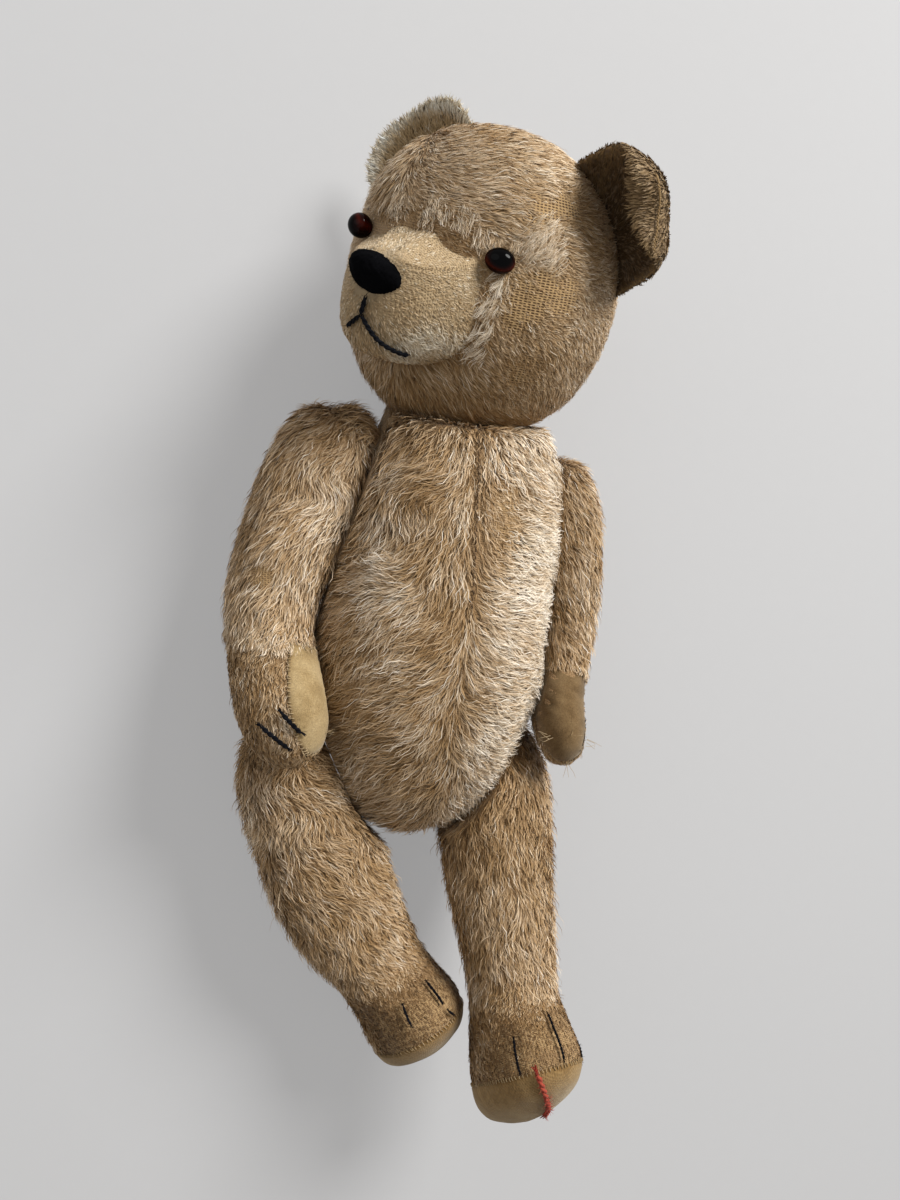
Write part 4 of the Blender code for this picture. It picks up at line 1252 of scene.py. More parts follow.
def cheek_bare(p):
    """Places on the face where the pile has worn down to the weave."""
    cheek = any_ball(p, [((66, -50, -3), 15), ((74, -37, 8), 14)], 0.5)
    jaw = 0.55 * ball(p, (66, -38, -40), 15, 0.7)
    brow = any_ball(p, [((60, -42, 42), 10), ((63, -27, 50), 10)], 0.6)
    worn = np.maximum(np.maximum(cheek, jaw), brow) * (0.88 + 0.75 * mottle(p, 6, 49))
    return np.clip(1.15 * worn, 0, 1)


def near_eye(p, r):
    return np.maximum(ball(p, EYE_MIDS[1], r, 0.2), ball(p, EYE_MIDS[-1] + np.array((6, -3, 1)), r + 5, 0.3))


def head_flow(p, n):
    x, z = p[:, 0], p[:, 2]
    part = np.interp(z, (-40, 10, 40, 80), (0, -4, -26, -34))
    side = np.tanh((x - part) / 14.0)
    around = unit(np.cross(UP, n) + 1e-6)
    fall = np.radians(np.interp(z, (-80, -50, -15, 20, 60, 85), (75, 48, 32, 8, 2, 0)))
    middle = np.exp(-((x - part) / 15.0) ** 2) * step(z, 5, 30)
    fall = fall + (math.radians(72) - fall) * middle
    fall = np.where(x < part, fall + math.radians(8), fall)
    d = around * (side * np.cos(fall))[:, None] - UP * np.sin(fall)[:, None]
    crown = step(z, 66, 82)[:, None]
    d = d * (1 - crown) + crown * np.stack((0.8 + 0 * x, 0.45 + 0 * x, -0.1 + 0 * x), -1)
    under = step(-z, 52, 78)[:, None]
    d = d * (1 - under) + under * np.stack((0.6 * side, 0.45 + 0 * x, -0.35 + 0 * x), -1)
    return d


def head_turn(p, n):
    return np.radians(25) * mottle(p, 18, 41) + np.radians(17) * mottle(p, 7, 42)


def head_density(p, n):
    d = np.where(in_muzzle(p) < np.where(p[:, 2] > 5, np.where(p[:, 0] > 0, 0.76, 0.90), 0.80), 0, 1.0)
    d = d * (1 - 0.95 * cheek_bare(p)) * (1 - 0.98 * near_eye(p, 7.2))
    h, r, _, _ = heights(head_to_bear(p), "neck")
    return np.where((h < 2.6) & (r < 40), 0, d * (0.85 + 0.3 * mottle(p, 12, 44)))


def head_length(p, n):
    z = p[:, 2]
    d = np.interp(z, (-80, -55, -20, 10, 35, 60, 85), (12.5, 12, 8.5, 7.5, 11, 11, 9.0))
    d = d * (1 - 0.62 * cheek_bare(p)) * (1 - 0.45 * near_eye(p, 13))
    d = d * (1 - 0.25 * step(p[:, 0], 30, 60) * (p[:, 1] < 10))
    d = d * (1 - 0.45 * step(in_muzzle(p), 1.25, 0.95) * (p[:, 2] > 5))
    return d * (1 + 0.18 * mottle(p, 16, 45))


def head_tone(p, n):
    t = 0.60 + 0.09 * mottle(p, 22, 51) + 0.07 * mottle(p, 7, 52)
    # painted shade: the pile darker under the chin and jaw
    t = t + 0.05 * ball(p, (10, -70, 45), 30) - 0.12 * step(-p[:, 2], 45, 72)
    # painted shade: darker in a ring where the muzzle meets the head, but not under it
    rim = step(in_muzzle(p), 1.20, 1.0) * step(p[:, 2], -48, -36)
    return t - 0.04 * cheek_bare(p) - 0.20 * rim - 0.06 * step(p[:, 2], -8, -30) * (p[:, 0] > 0)


EYE_SOCKET = (-33, -71.5, 18)       # the head dips beside the right eye
skull = closed(head_form(SKULL_INSET))
skull["pts"] = (clear_limb(head_to_bear(skull["pts"]), "neck", 0.3) - HEAD_AT) @ HEAD_AXES
skull["pts"] -= 4.6 * ball(skull["pts"], EYE_SOCKET, 14, 0.9)[:, None] * unit(skull["pts"])
skull = recomputed(skull)
skin_object("head_backing", skull, "head_part", FACE_BACKING, head_to_bear, ("head",),
            np.clip(0.25 + cheek_bare(skull["pts"]), 0, 1))
off_neck = lambda p: clear_limb(p, "neck", 0.1)
front_half = lambda p, n: (head_density(p, n) * (p[:, 1] < 22 + 0.3 * p[:, 0])
                           * (1 - 0.97 * ball(p, EYE_SOCKET, 10, 0.4)))
coat("head_pile", skull, "head_part", "pile", SHORT_PILE, down=9500, top=40000, guard=3500, length=head_length,
     flow=head_flow, tone=head_tone, density=front_half, lift=0.24, width=0.34, down_width=0.80, segs=2,
     lock=2.6, pull=0.45, wave=0.45, stray=11, seed=201, place=head_to_bear, clear=off_neck, turn=head_turn,
     under=0.40, spread=0.10, pale=0.16)
pile("head_back_pile", skull, "head_part", "pile", SHORT_PILE, count=8000, length=9.5, flow=head_flow,
     tone=0.58, density=lambda p, n: head_density(p, n) * (p[:, 1] >= 22 + 0.3 * p[:, 0]), lift=0.26, width=0.85,
     segs=2, lock=6, pull=0.5, wave=0.5, stray=16, seed=202, place=head_to_bear, clear=off_neck, under=0.35)


def tuft(name, spots, count, length, lift, tone, seed, along, mat=SHORT_PILE, slot="pile", form=skull, lock=2.4,
         pull=0.5):
    """A few longer pale strands standing in small tufts at the given places (head frame)."""
    return pile(name, form, "head_part", slot, mat, count=count, length=length, tone=tone, lift=lift,
                flow=leaning(along, 0.55, 8, seed + 3), density=lambda p, n: any_ball(p, spots, 0.5) + 1e-9,
                width=0.26, segs=3, lock=lock, pull=pull, wave=0.6, stray=18, seed=seed, place=head_to_bear,
                clear=off_neck, under=1.0)


tuft("brow_tufts", [((12, -77, 36), 8), ((30, -72, 36), 7), ((-14, -77, 34), 8), ((40, -68, 28), 5)],
     900, 7.5, 0.5, 0.80, 211, (0.5, -0.5, -0.6))
tuft("cheek_tufts", [((55, -63, 9), 5), ((54, -64, -4), 5), ((53, -64, -18), 5), ((51, -62, -30), 4)],
     520, 10.0, 0.35, 0.86, 212, (-0.45, -0.5, -0.9), pull=0.8, lock=3.4)
tuft("eye_corner_tufts", [((61, -52, 25), 7), ((64, -46, 33), 8), ((67, -40, 22), 6)],
     800, 9.0, 0.45, 0.80, 213, (0.5, 0.5, 0.75))
tuft("brow_lashes", [((50, -66, 27), 5), ((56, -60, 27), 4), ((46, -68, 26), 4)],
     420, 6.0, 0.5, 0.66, 214, (0.2, -0.4, -0.9))

# ------------------------------------------------------------------------------------ muzzle
GUSSET_AT = (14.0, -103.0, 7.0)      # where a seam of the top gusset starts beside the nose
GUSSET_OUT = unit((0.352, -0.421, 0.836))


def gusset_cut(p):
    """The muzzle's top panel lies flat between its two seams, which stand up as low welts."""
    q = p.copy()
    side = np.tanh((q[:, 0] - MUZZLE_X) / 5.0)
    out = unit(np.stack((GUSSET_OUT[0] * side, 0 * side + GUSSET_OUT[1], 0 * side + GUSSET_OUT[2]), -1))
    at = np.stack((MUZZLE_X + GUSSET_AT[0] * side, 0 * side + GUSSET_AT[1], 0 * side + GUSSET_AT[2]), -1)
    high = dot(q - at, out)
    away = np.abs(q[:, 0] - MUZZLE_X)
    late = 24 * (1 - step(away, 14, 32))
    body_end = step(q[:, 1], -44 - late, -58 - late * 1.4)
    q = q - out * (np.maximum(0, high) * 0.82 * body_end)[:, None]
    welt = np.exp(-((high - 0.4) / 1.7) ** 2) * body_end * step(away, 10, 15)
    dip = np.exp(-((high - 5.0) / 3.0) ** 2) * body_end * step(away, 12, 20)
    return q + out * (0.9 * welt - 0.5 * dip)[:, None]


def seam_welt(p):
    """1 along the two seams of the top gusset."""
    side = np.sign(p[:, 0] - MUZZLE_X)
    at = np.stack((MUZZLE_X + GUSSET_AT[0] * side, 0 * side + GUSSET_AT[1], 0 * side + GUSSET_AT[2]), -1)
    out = np.stack((GUSSET_OUT[0] * side, 0 * side + GUSSET_OUT[1], 0 * side + GUSSET_OUT[2]), -1)
    return np.exp(-(dot(p - at, out) / 2.4) ** 2) * (np.abs(p[:, 0] - MUZZLE_X) > 12) * (p[:, 2] > 2)


def snout_cut(grow):
    form = closed(muzzle_form(grow))
    form["pts"] = gusset_cut(form["pts"])
    return recomputed(form)


snout = snout_cut(SNOUT_INSET)
snout_face = surface_of(snout_cut(0.0))


def snout_bare(p):
    stripe = 0.9 * seam_welt(p) * (p[:, 1] < -58)
    under = any_ball(p, [((20, -109, -14), 9), ((33, -98, -9), 9)])
    return np.clip(np.maximum(stripe, 0.75 * under), 0, 1)


def snout_density(p, n):
    nose = np.hypot((p[:, 0] - NOSE_AT[0]) / (NOSE_R[0] - 1), (p[:, 2] - NOSE_AT[2]) / (NOSE_R[2] - 1))
    d = np.where((nose < 1) & (p[:, 1] < -85), 0, 1.0)
    return d * (1 - 0.75 * snout_bare(p)) * (p[:, 1] < -40) * (0.85 + 0.3 * mottle(p, 9, 61))


def snout_flow(p, n):
    return np.stack((p[:, 0] - NOSE_AT[0], 30 + 0 * p[:, 0], p[:, 2] - 4), -1) + 6 * drift(p, 12, 62)


def snout_tone(p, n):
    t = 0.60 + 0.06 * mottle(p, 14, 63) + 0.04 * mottle(p, 6, 64) + 0.08 * step(p[:, 2], 4, 12)
    t = t + 0.20 * any_ball(p, [((38, -90, -30), 13), ((28, -98, -36), 11)])
    # painted shade: darker toward the back of the muzzle, where it meets the head
    return t - 0.16 * step(p[:, 1], -66, -50) * (p[:, 2] > -30)


skin_object("muzzle_backing", snout, "head_part", SNOUT_BACKING, head_to_bear, ("muzzle",),
            np.clip(0.05 + snout_bare(snout["pts"]), 0, 1))
pile("muzzle_pile", snout, "head_part", "pale_pile", SNOUT_PILE, count=21500, flow=snout_flow, tone=snout_tone,
     length=lambda p, n: 2.5 + 1.6 * step(-p[:, 2], 14, 30) + 1.2 * step(p[:, 1], -66, -50),
     density=snout_density, lift=0.24, width=0.44, segs=2, lock=2.0, pull=0.35, wave=0.2, stray=14, seed=221,
     place=head_to_bear, under=0.5, spread=0.06, pale=0.12)
line = smooth_path([(17, -104, 7), (25, -99, 7), (31, -94, 8), (37, -85, 9), (42, -74, 11)], 5)
sewn_row("muzzle_seam_stitches", snout_face, line, 0.35, (0.5, 0.9), 0.22, TAN_YARN, 0.25)
tuft("muzzle_low_tufts", [((38, -90, -31), 9), ((30, -97, -34), 8), ((44, -76, -30), 7), ((24, -96, -42), 8)],
     1000, 5.0, 0.4, 0.84, 222, (0.5, 0.6, -0.6), SNOUT_PILE, "pale_pile", form=snout)

for node, r, pts in (
        ("mouth_thread_centre", 1.3, [(6.5, -112, -12.5), (6.5, -112, -17.5), (5.2, -112, -23)]),
        ("mouth_thread_right", 1.25, [(5.5, -112, -22.5), (2, -112, -25.5), (-1, -111, -28), (-5, -110, -31)]),
        ("mouth_thread_left", 1.3, [(5.5, -112, -22.5), (8, -112, -25), (11, -111, -28), (17, -108, -33),
                                    (23, -103, -36), (29, -96, -38)])):
    laid_yarn(node + "_yarn", node, snout_face, pts, r, "head_part", DARK_YARN, place=head_to_bear, lift=0.0,
              seed=31)

# ------------------------------------------------------------------------------------ nose
NOSE_SHOWN = (18.2, 10.6, 9.9)
nd = ball_grid(46, 92)
blunt = (np.abs(nd[..., 0]) ** 2.5 + np.abs(nd[..., 1]) ** 2.5 + np.abs(nd[..., 2]) ** 2.5) ** -0.4
nd = nd * (1 + (blunt - 1) * 0.95)[..., None]
nd[..., 0] *= 1 - 0.22 * step(-nd[..., 2], -0.2, 1.0)
ridge = np.abs(np.sin(np.pi * (nd[..., 0] * NOSE_SHOWN[0] + 0.5 * np.sin(nd[..., 2] * 6)) / 1.35))
rough = mottle(nd.reshape(-1, 3) * 15, 2.4, 71).reshape(ridge.shape)
size = np.array(NOSE_SHOWN) + (0.36 * ridge + 0.30 * rough - 0.35)[..., None]
lean = math.radians(13.0)
x, z = (nd * size)[..., 0], (nd * size)[..., 2]
ball_pts = np.stack((x * math.cos(lean) + z * math.sin(lean), (nd * size)[..., 1],
                     -x * math.sin(lean) + z * math.cos(lean)), -1) + np.array(NOSE_AT)
nose = closed(ball_pts)
mesh_object("nose_satin_stitch", laid(head_to_bear(nose["pts"])), [nose["quads"], nose["caps"]], "head_part",
            NOSE_YARN, ("nose_thread",))
rng = np.random.default_rng(9)
parts = []
for _ in range(120):
    d = unit(np.array((rng.normal(), -abs(rng.normal()) - 0.25, rng.normal())))
    p0 = np.array(NOSE_AT) + d * np.array(NOSE_SHOWN)
    q = unit(np.array((d[0], 0, d[2])) + rng.normal(0, 0.4, 3))
    ln = rng.uniform(0.8, 2.2)
    parts.append(closed(tube(np.array([p0, p0 + (d + q) * ln * 0.3, p0 + (d * 0.4 + q) * ln * 0.8]),
                             np.array((0.09, 0.08, 0.03)), 4)))
yarn_object("nose_fuzz", parts, "head_part", NOSE_YARN, head_to_bear)

# ------------------------------------------------------------------------------------ eyes
for side, node in ((-1, "eye_right"), (1, "eye_left")):
    d = Vector(EYE_DIRS[side])
    turn_eye = np.array(Vector((0, -1, 0)).rotation_difference(d).to_matrix())
    pol = np.pi * (np.arange(30) + 0.5) / 30
    az = 2 * np.pi * np.arange(48) / 48
    ed = np.stack((np.sin(pol)[:, None] * np.cos(az), -np.cos(pol)[:, None] * np.ones(48),
                   np.sin(pol)[:, None] * np.sin(az)), -1)
    radii, stand = EYE_SHOWN[node]
    f = closed((ed * np.array(radii)) @ turn_eye.T + EYE_MIDS[side] + np.array(stand))
    ob = mesh_object(node + "_dome", laid(head_to_bear(f["pts"])), [f["quads"], f["caps"]], "head_part",
                     GLASS, (node,))
    low = 0.80 - 0.34 * ed[..., 2] * (1 if side > 0 else -1)
    rim = np.r_[(np.sin(np.minimum(pol, np.pi / 2))[:, None] * np.clip(low, 0, 1.12)).ravel(), 0.0, 0.9]
    vertex_value(ob, "rim", rim)

# ------------------------------------------------------------------------------------ ears
def splayed(p):
    """The left ear's upper corner stands out from the head and its lower edge draws in (head frame)."""
    out = step(p[..., 0], 66, 92) * (9.5 * step(p[..., 2], 50, 76) - 4.0 * step(p[..., 2], 44, 26))
    return p + out[..., None] * np.array((0.94, -0.34, 0.0))


def shown_ear(name):
    rings, pattern = ear_form(name, EAR_INSET)
    return (splayed(rings) if name == "ear_left" else rings), pattern


def dress_ear(name):
    w, u, nn = ear_axes(name)
    left = name == "ear_left"
    rings, pattern = shown_ear(name)
    ear = closed(rings)
    ear["pattern"] = pattern

    # q is the flat pattern of the ear: across (-1..1), up (-1..1), front face above 0
    def ear_bare(q):
        e = np.hypot(q[:, 0], q[:, 1])
        band = step(e, 0.90, 0.95) * step(np.abs(q[:, 2] - 0.12), 0.16, 0.06) if left else 0 * e
        return band * (q[:, 1] > -0.2)

    def ear_density(q, n):
        return np.where(q[:, 1] < -0.3, 0, 1.0) * (1 - 0.8 * ear_bare(q))

    def ear_flow(q, n):
        a = ear_turn(name, q[:, 1])[:, None]
        up = u * np.cos(a) + nn * np.sin(a)
        return w * (q[:, 0] * 0.8)[:, None] + up * (0.4 + 0.6 * q[:, 1])[:, None] + 0.35 * drift(q, 0.3, 81)

    def ear_tone(q, n):
        e = np.hypot(q[:, 0], q[:, 1])
        # painted shade and light: the left ear darker all over, each ear's hollow darker still, the front near
        # the rim lighter
        inside = (q[:, 2] > 0.05) * (step(e, 1.0, 0.84) if left else step(e, 0.97, 0.75))
        deep = 0.27 - 0.09 * step(q[:, 1], 0.1, 0.7) - 0.16 * step(q[:, 0], -0.1, -0.7) if left else 0.24
        t = (0.24 if left else 0.70) - deep * inside + 0.06 * mottle(q, 0.3, 82)
        return t + (0.08 if left else 0.12) * step(e, 0.84, 0.97) * (q[:, 2] > 0.05)

    def ear_length(q, n):
        rim = step(np.hypot(q[:, 0], q[:, 1]), 0.85, 1.0)
        base, more = (np.where(q[:, 2] > 0.05, 5.0, 8.0), -0.3) if left else (6.5, 0.25)
        return base * (1 + 0.15 * mottle(q, 0.3, 83)) * (1 + more * rim)

    skin_object(name + "_backing", ear, "head_part", EAR_BACKING, head_to_bear, (name,),
                np.clip(ear_bare(pattern) + (0.45 * step(pattern[:, 1], 0.45, 0.7) if left else 0), 0, 1))
    pile(name + "_pile", ear, "head_part", "pile", EAR_PILE, count=12500 if left else 10000, length=ear_length,
         flow=ear_flow, tone=ear_tone, density=ear_density, lift=0.16 if left else 0.36, width=0.68, segs=2,
         lock=1.8, pull=0.15, wave=0.3, stray=14, seed=231 + left, place=head_to_bear, under=0.8, spread=0.06,
         pale=0.04)


for name in EARS:
    dress_ear(name)

# the left ear's edge is closed with a row of golden stitches
left_ear = surface_of(closed(shown_ear("ear_left")[0]))
line = splayed(smooth_path([(93, -8, 72), (98, -6, 66), (102, -5, 60), (107, -6, 50), (110, -8, 40),
                            (112, -3, 34)], 6))
sewn_row("ear_left_edge_stitches", left_ear, line, 1.7, (1.0, 0.6), 0.42, GOLD_YARN, 0.4)


# ==================================================================================== pads and soles
def bm_of(form):
    bm = bmesh.new()
    vs = [bm.verts.new(p) for p in form["pts"]]
    for f in form["quads"].tolist() + form["caps"].tolist():
        bm.faces.new([vs[i] for i in f])
    return bm


def pad(name, form, body, slot, mat, node, plane, out, up, seam=None, proud=0.9, crown=1.2, wrinkle=None,
        stitch=None, seed=1, clear=None, thick=1.4):
    """Cloth pad over the part of a limb beyond a seam plane (and below a wrist seam), crowned and sewn on.

    stitch is the gap between stitches, their size and radius, and their yarn.
    """
    bm = bm_of(form)
    n = unit(out)
    u = unit(np.array(up) - n * dot(np.array(up), n))
    w = np.cross(n, u)

    def bisect(at, no):
        geo = bm.verts[:] + bm.edges[:] + bm.faces[:]
        bmesh.ops.bisect_plane(bm, geom=geo, plane_co=Vector(at), plane_no=Vector(no), clear_inner=True)
    bisect(plane, n)
    if seam is not None:
        bisect(seam, -u)
    bmesh.ops.recalc_face_normals(bm, faces=bm.faces)
    bm.verts.ensure_lookup_table()
    pts = np.array([v.co[:] for v in bm.verts])
    nrm = np.array([v.normal[:] for v in bm.verts])
    inward = dot(nrm.mean(0), n) < 0
    if inward:
        bmesh.ops.reverse_faces(bm, faces=bm.faces)
        nrm = -nrm
    edge_v = [v.index for v in bm.verts if v.is_boundary]
    rim = pts[edge_v]
    dist = np.full(len(pts), 1e9)
    for r in rim:
        dist = np.minimum(dist, np.linalg.norm(pts - r, axis=1))
    ragged = 0.35 * mottle(pts, 2.2, seed + 5) * step(dist, 3.0, 0.0)
    lift = (proud * step(dist, -0.5, 1.6) + crown * step(dist, 0.5, 14.0) + 0.22 * mottle(pts, 7, seed)
            + ragged)
    if wrinkle is not None:
        lift = lift + wrinkle(pts) * step(dist, 0.5, 5)
    new = pts + nrm * lift[:, None]
    order = ordered_loop(bm)
    loop_pts, loop_n = pts[order], nrm[order]
    for v, p in zip(bm.verts, new):
        v.co = p
    bm.verts.index_update()
    bmesh.ops.solidify(bm, geom=bm.faces[:], thickness=thick)
    bm.verts.ensure_lookup_table()
    bmesh.ops.recalc_face_normals(bm, faces=bm.faces)
    final = np.array([v.co[:] for v in bm.verts])
    near = np.full(len(final), 1e9)
    for r in rim:
        near = np.minimum(near, np.linalg.norm(final - r, axis=1))
    if clear is not None:
        final = clear(final)
    me = bpy.data.meshes.new(name)
    for v, p in zip(bm.verts, above_ground(laid(final))):
        v.co = p
    bm.to_mesh(me)
    bm.free()
    me.polygons.foreach_set("use_smooth", np.full(len(me.polygons), True))
    me.materials.append(mat)
    ob = bpy.data.objects.new(name, me)
    bpy.context.scene.collection.objects.link(ob)
    flat = np.stack((dot(final, w), dot(final, u)), -1) * CLOTH_UNIT
    vertex_map(ob, "cloth", flat)
    vertex_value(ob, "edge", step(near, 3.2, 0.4))
    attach(ob, body)
    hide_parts(node)
    if stitch:
        rng = np.random.default_rng(seed)
        gap, size, radius, yarn = stitch
        s = np.r_[0, np.cumsum(np.linalg.norm(np.diff(loop_pts, axis=0), axis=1))]
        mid = loop_pts.mean(0)
        pairs, faces = [], []
        at = 0.5
        while at < s[-1]:
            p = np.array([np.interp(at, s, loop_pts[:, c]) for c in range(3)])
            f = unit(np.array([np.interp(at, s, loop_n[:, c]) for c in range(3)]))
            a2 = min(at + 1.0, s[-1])
            along = unit(np.array([np.interp(a2, s, loop_pts[:, c]) for c in range(3)]) - p + 1e-6)
            inw = mid - p
            inw = unit(inw - f * dot(inw, f) - along * dot(inw, along))
            k = size * rng.uniform(0.75, 1.2)
            a = p - inw * 1.1 + f * 0.3 + along * rng.normal(0, 0.25)
            b = p + inw * k + f * (proud * 0.8 + 0.3) + along * (0.7 + rng.normal(0, 0.3))
            pairs.append((a, b))
            faces.append(f)
            at += gap * rng.uniform(0.75, 1.3)
        stitches(name + "_stitches", pairs, faces, radius, body, yarn, arch=0.45)
    return ob


def ordered_loop(bm):
    """Boundary vertices in order round the longest open edge."""
    edges = [e for e in bm.edges if e.is_boundary]
    link = {}
    for e in edges:
        a, b = e.verts[0].index, e.verts[1].index
        link.setdefault(a, []).append(b)
        link.setdefault(b, []).append(a)
    best, seen = [], set()
    for start in link:
        if start in seen:
            continue
        loop, at = [start], start
        seen.add(start)
        while True:
            nxt = [v for v in link[at] if v not in seen]
            if not nxt:
                break
            at = nxt[0]
            seen.add(at)
            loop.append(at)
        if len(loop) > len(best):
            best = loop
    return best + best[:1]


STRAY_R = 0.16                     # a loose fibre is this thick where it starts, half at its end


def strays(name, tree, spots, body, mat, seed, length=7.0):
    """Loose thread ends and frayed fibres: each spot is (point, direction, how many)."""
    rng = np.random.default_rng(seed)
    parts = []
    for at, way, many in spots:
        for _ in range(many):
            co, no, _, _ = tree.find_nearest(Vector(np.array(at) + rng.normal(0, 1.2, 3)))
            p, f = np.array(co), np.array(no)
            d = unit(np.array(way, float) + rng.normal(0, 0.35, 3))
            ln = length * rng.uniform(0.5, 1.3)
            pts = [p + f * 0.8, p + f * 1.6 + d * ln * 0.35, p + f * rng.uniform(1.0, 3.0) + d * ln * 0.7,
                   p + f * rng.uniform(0.5, 3.0) + d * ln + rng.normal(0, 0.8, 3)]
            path = ease_rows(np.array(pts), 4)
            parts.append(closed(tube(path, np.linspace(STRAY_R, STRAY_R * 0.5, len(path)), 5)))
    return yarn_object(name, parts, body, mat)


# ==================================================================================== arms
def beyond(p, fit, shrink=0.0):
    """True on the part of an arm that its pad covers."""
    plane, out, up, seam = fit
    n = unit(out)
    u = unit(np.array(up) - n * dot(np.array(up), n))
    return (dot(p - np.array(plane), n) > shrink) & (dot(p - np.array(seam), u) < -shrink)


def arm_set(side):
    return (ARM_R, PAW_R, "shoulder_right") if side == "right" else (ARM_L, PAW_L, "shoulder_left")


def spine_dir(rows, p):
    """Direction down the limb at the nearest part of its spine."""
    fine = ease_rows(rows, 6)[:, :3]
    tan = unit(np.gradient(fine, axis=0))
    z = fine[:, 2]
    order = np.argsort(z)
    return unit(np.stack([np.interp(p[:, 2], z[order], tan[order, c]) for c in range(3)], -1))


def dress_arm(side):
    rows, fit, joint = arm_set(side)
    part = "arm_part_" + side
    right = side == "right"
    arm = closed(arm_form(rows, ARM_INSET[side]))
    own = lambda p: clear_limb(p, joint, PILE_GAP)
    arm["pts"] = clear_limb(arm["pts"], joint, SKIN_GAP)
    arm = recomputed(arm)
    spot = (-119, -30, -120) if right else (104, -8, -120)

    def arm_bare(p):
        return np.clip(1.2 * ball(p, spot, 9 if right else 6, 0.6), 0, 1)

    def arm_density(p, n):
        d = np.where(beyond(p, fit, 0.6) | under_disc(p, joint), 0, 1.0)
        paw = step(-p[:, 2], 160, 175)
        return d * (1 - 0.93 * arm_bare(p)) * (0.8 + 0.35 * mottle(p, 13, 91)) * (1 + 0.25 * paw)

    def arm_flow(p, n):
        t = spine_dir(rows, p)
        around = unit(np.cross(n, t) + 1e-6)
        out = np.array((-0.25 if right else 0.3, -0.05, 0.0))
        return t + out + 0.15 * around * drift(p, 18, 92)[:, :1]

    def arm_turn(p, n):
        inner = ball(p, (-72, -18, -55) if right else (70, -12, -60), 32, 0.5)
        amp = (26 if right else 20) + 45 * inner
        return np.radians(amp) * mottle(p, 17, 93) + np.radians(14) * drift(p, 8, 94)[:, 1]

    def arm_length(p, n):
        z = -p[:, 2]
        if right:
            d = np.interp(z, (20, 60, 140, 156, 164, 190, 225), (11, 14, 13.5, 12, 6.5, 6.5, 5.5))
        else:
            d = np.interp(z, (20, 60, 140, 152, 160, 215), (11, 12.5, 12, 9, 5, 4))
        return d * (1 - 0.4 * arm_bare(p)) * (1 + 0.15 * mottle(p, 15, 95))

    def arm_tone(p, n):
        z = -p[:, 2]
        t = 0.56 + 0.09 * mottle(p, 18, 96) + 0.06 * mottle(p, 7, 97)
        if right:
            t = t - 0.10 * step(z, 150, 162) * step(p[:, 1], -75, -55) + 0.06 * ball(p, (-112, -20, -148), 22)
            t = t + 0.16 * ball(p, (-100, -68, -206), 12) + 0.13 * ball(p, (-82, -28, -72), 22, 0.7)
            t = t + 0.08 * ball(p, (-94, -31, -108), 22, 0.7)
        else:
            t = t - 0.03 * step(z, 150, 165)
        return t

    def arm_lift(p, n):
        shoulder = by_face(p, joint, 80, 10) * (0.3 + 0.25 * step(p[:, 2], -48, -25))
        return (0.34 if right else 0.44) + shoulder

    skin_object("arm_%s_backing" % side, arm, part, BACKING, lambda p: p, ("arm_" + side,),
                np.clip(arm_bare(arm["pts"]) + (0.25 if not right else 0.1), 0, 1))
    down, top, guard = (5500, 15000, 1500) if right else (3800, 11500, 1100)
    coat("arm_%s_pile" % side, arm, part, "pile", LONG_PILE, down=down, top=top, guard=guard,
         length=arm_length, flow=arm_flow, tone=arm_tone, density=arm_density, lift=arm_lift, segs=2, width=0.44,
         down_width=0.9, lock=3.2, pull=0.5, wave=0.85 if right else 0.65, stray=16, seed=301 + right, clear=own,
         turn=arm_turn, under=0.40, spread=0.11, pale=0.12)
    if right:
        pile("arm_right_shoulder_tufts", arm, part, "pile", LONG_PILE, count=1500, length=14.0, lift=0.75,
             tone=0.50, flow=leaning((0.8, -0.25, 0.55), 0.5, 9, 98),
             density=lambda p, n: ball(p, (-72, 2, -24), 20, 0.6) + 1e-9, width=0.46, segs=2, lock=3.0, pull=0.5,
             wave=0.8, stray=22, seed=331, clear=own, under=1.0, spread=0.10)

    # short pale fringe at the wrist crease

    def fringe_density(p, n):
        return np.exp(-((-p[:, 2] - WRIST_CREASE[side] - 2) / 3.0) ** 2) * ~beyond(p, fit, 0.6) + 1e-9
    pile("arm_%s_wrist_fringe" % side, arm, part, "pile", SHORT_PILE, count=1200, length=8, flow=arm_flow,
         tone=0.74, density=fringe_density, lift=0.5, width=0.42, lock=4, wave=0.6, stray=24, seed=311 + right,
         clear=own, under=0.5)

    whole = closed(arm_form(rows, -1.1, per=9, n=84))

    def fold(p):
        if right:
            return 0.30 * np.sin(dot(p, unit((0.2, 0.3, 0.9))) * 0.9) * ball(p, (-80, -50, -172), 18, 0.7)
        v = dot(p, unit((0.45, 0.0, 0.9)))
        return -0.9 * np.abs(np.sin(v * 0.42)) * ball(p, (70, -32, -176), 18, 0.8)

    pad("paw_pad_%s_felt" % side, whole, part, "felt", PAW_FELT if right else SOILED_SHADED_FELT, "paw_pad_" + side,
        *fit, proud=0.9, crown=1.0 if right else 0.6, wrinkle=fold, stitch=(2.3, 1.7, 0.26, TAN_YARN),
        seed=321 + right, clear=own)


for side in ("right", "left"):
    dress_arm(side)

arm_face = {"right": surface_of(closed(arm_form(ARM_R, 0.0))), "left": surface_of(closed(arm_form(ARM_L, 0.0)))}
for node, side, r, pts in (
        ("claw_thread_arm_right_1", "right", 1.3, [(-110, -61, -203.5), (-102, -65, -209), (-94, -66, -214)]),
        ("claw_thread_arm_right_2", "right", 1.3, [(-101, -66, -194.5), (-95, -67, -200), (-89, -65, -205)]),
        ("claw_thread_arm_left", "left", 0.8, [(86, -38, -191), (88, -43, -198), (86, -46, -204)])):
    laid_yarn(node + "_yarn", node, arm_face[side], pts, r, "arm_part_" + side, DARK_YARN,
              lift=0.1 if side == "right" else -1.1, seed=41, fray=2.5)

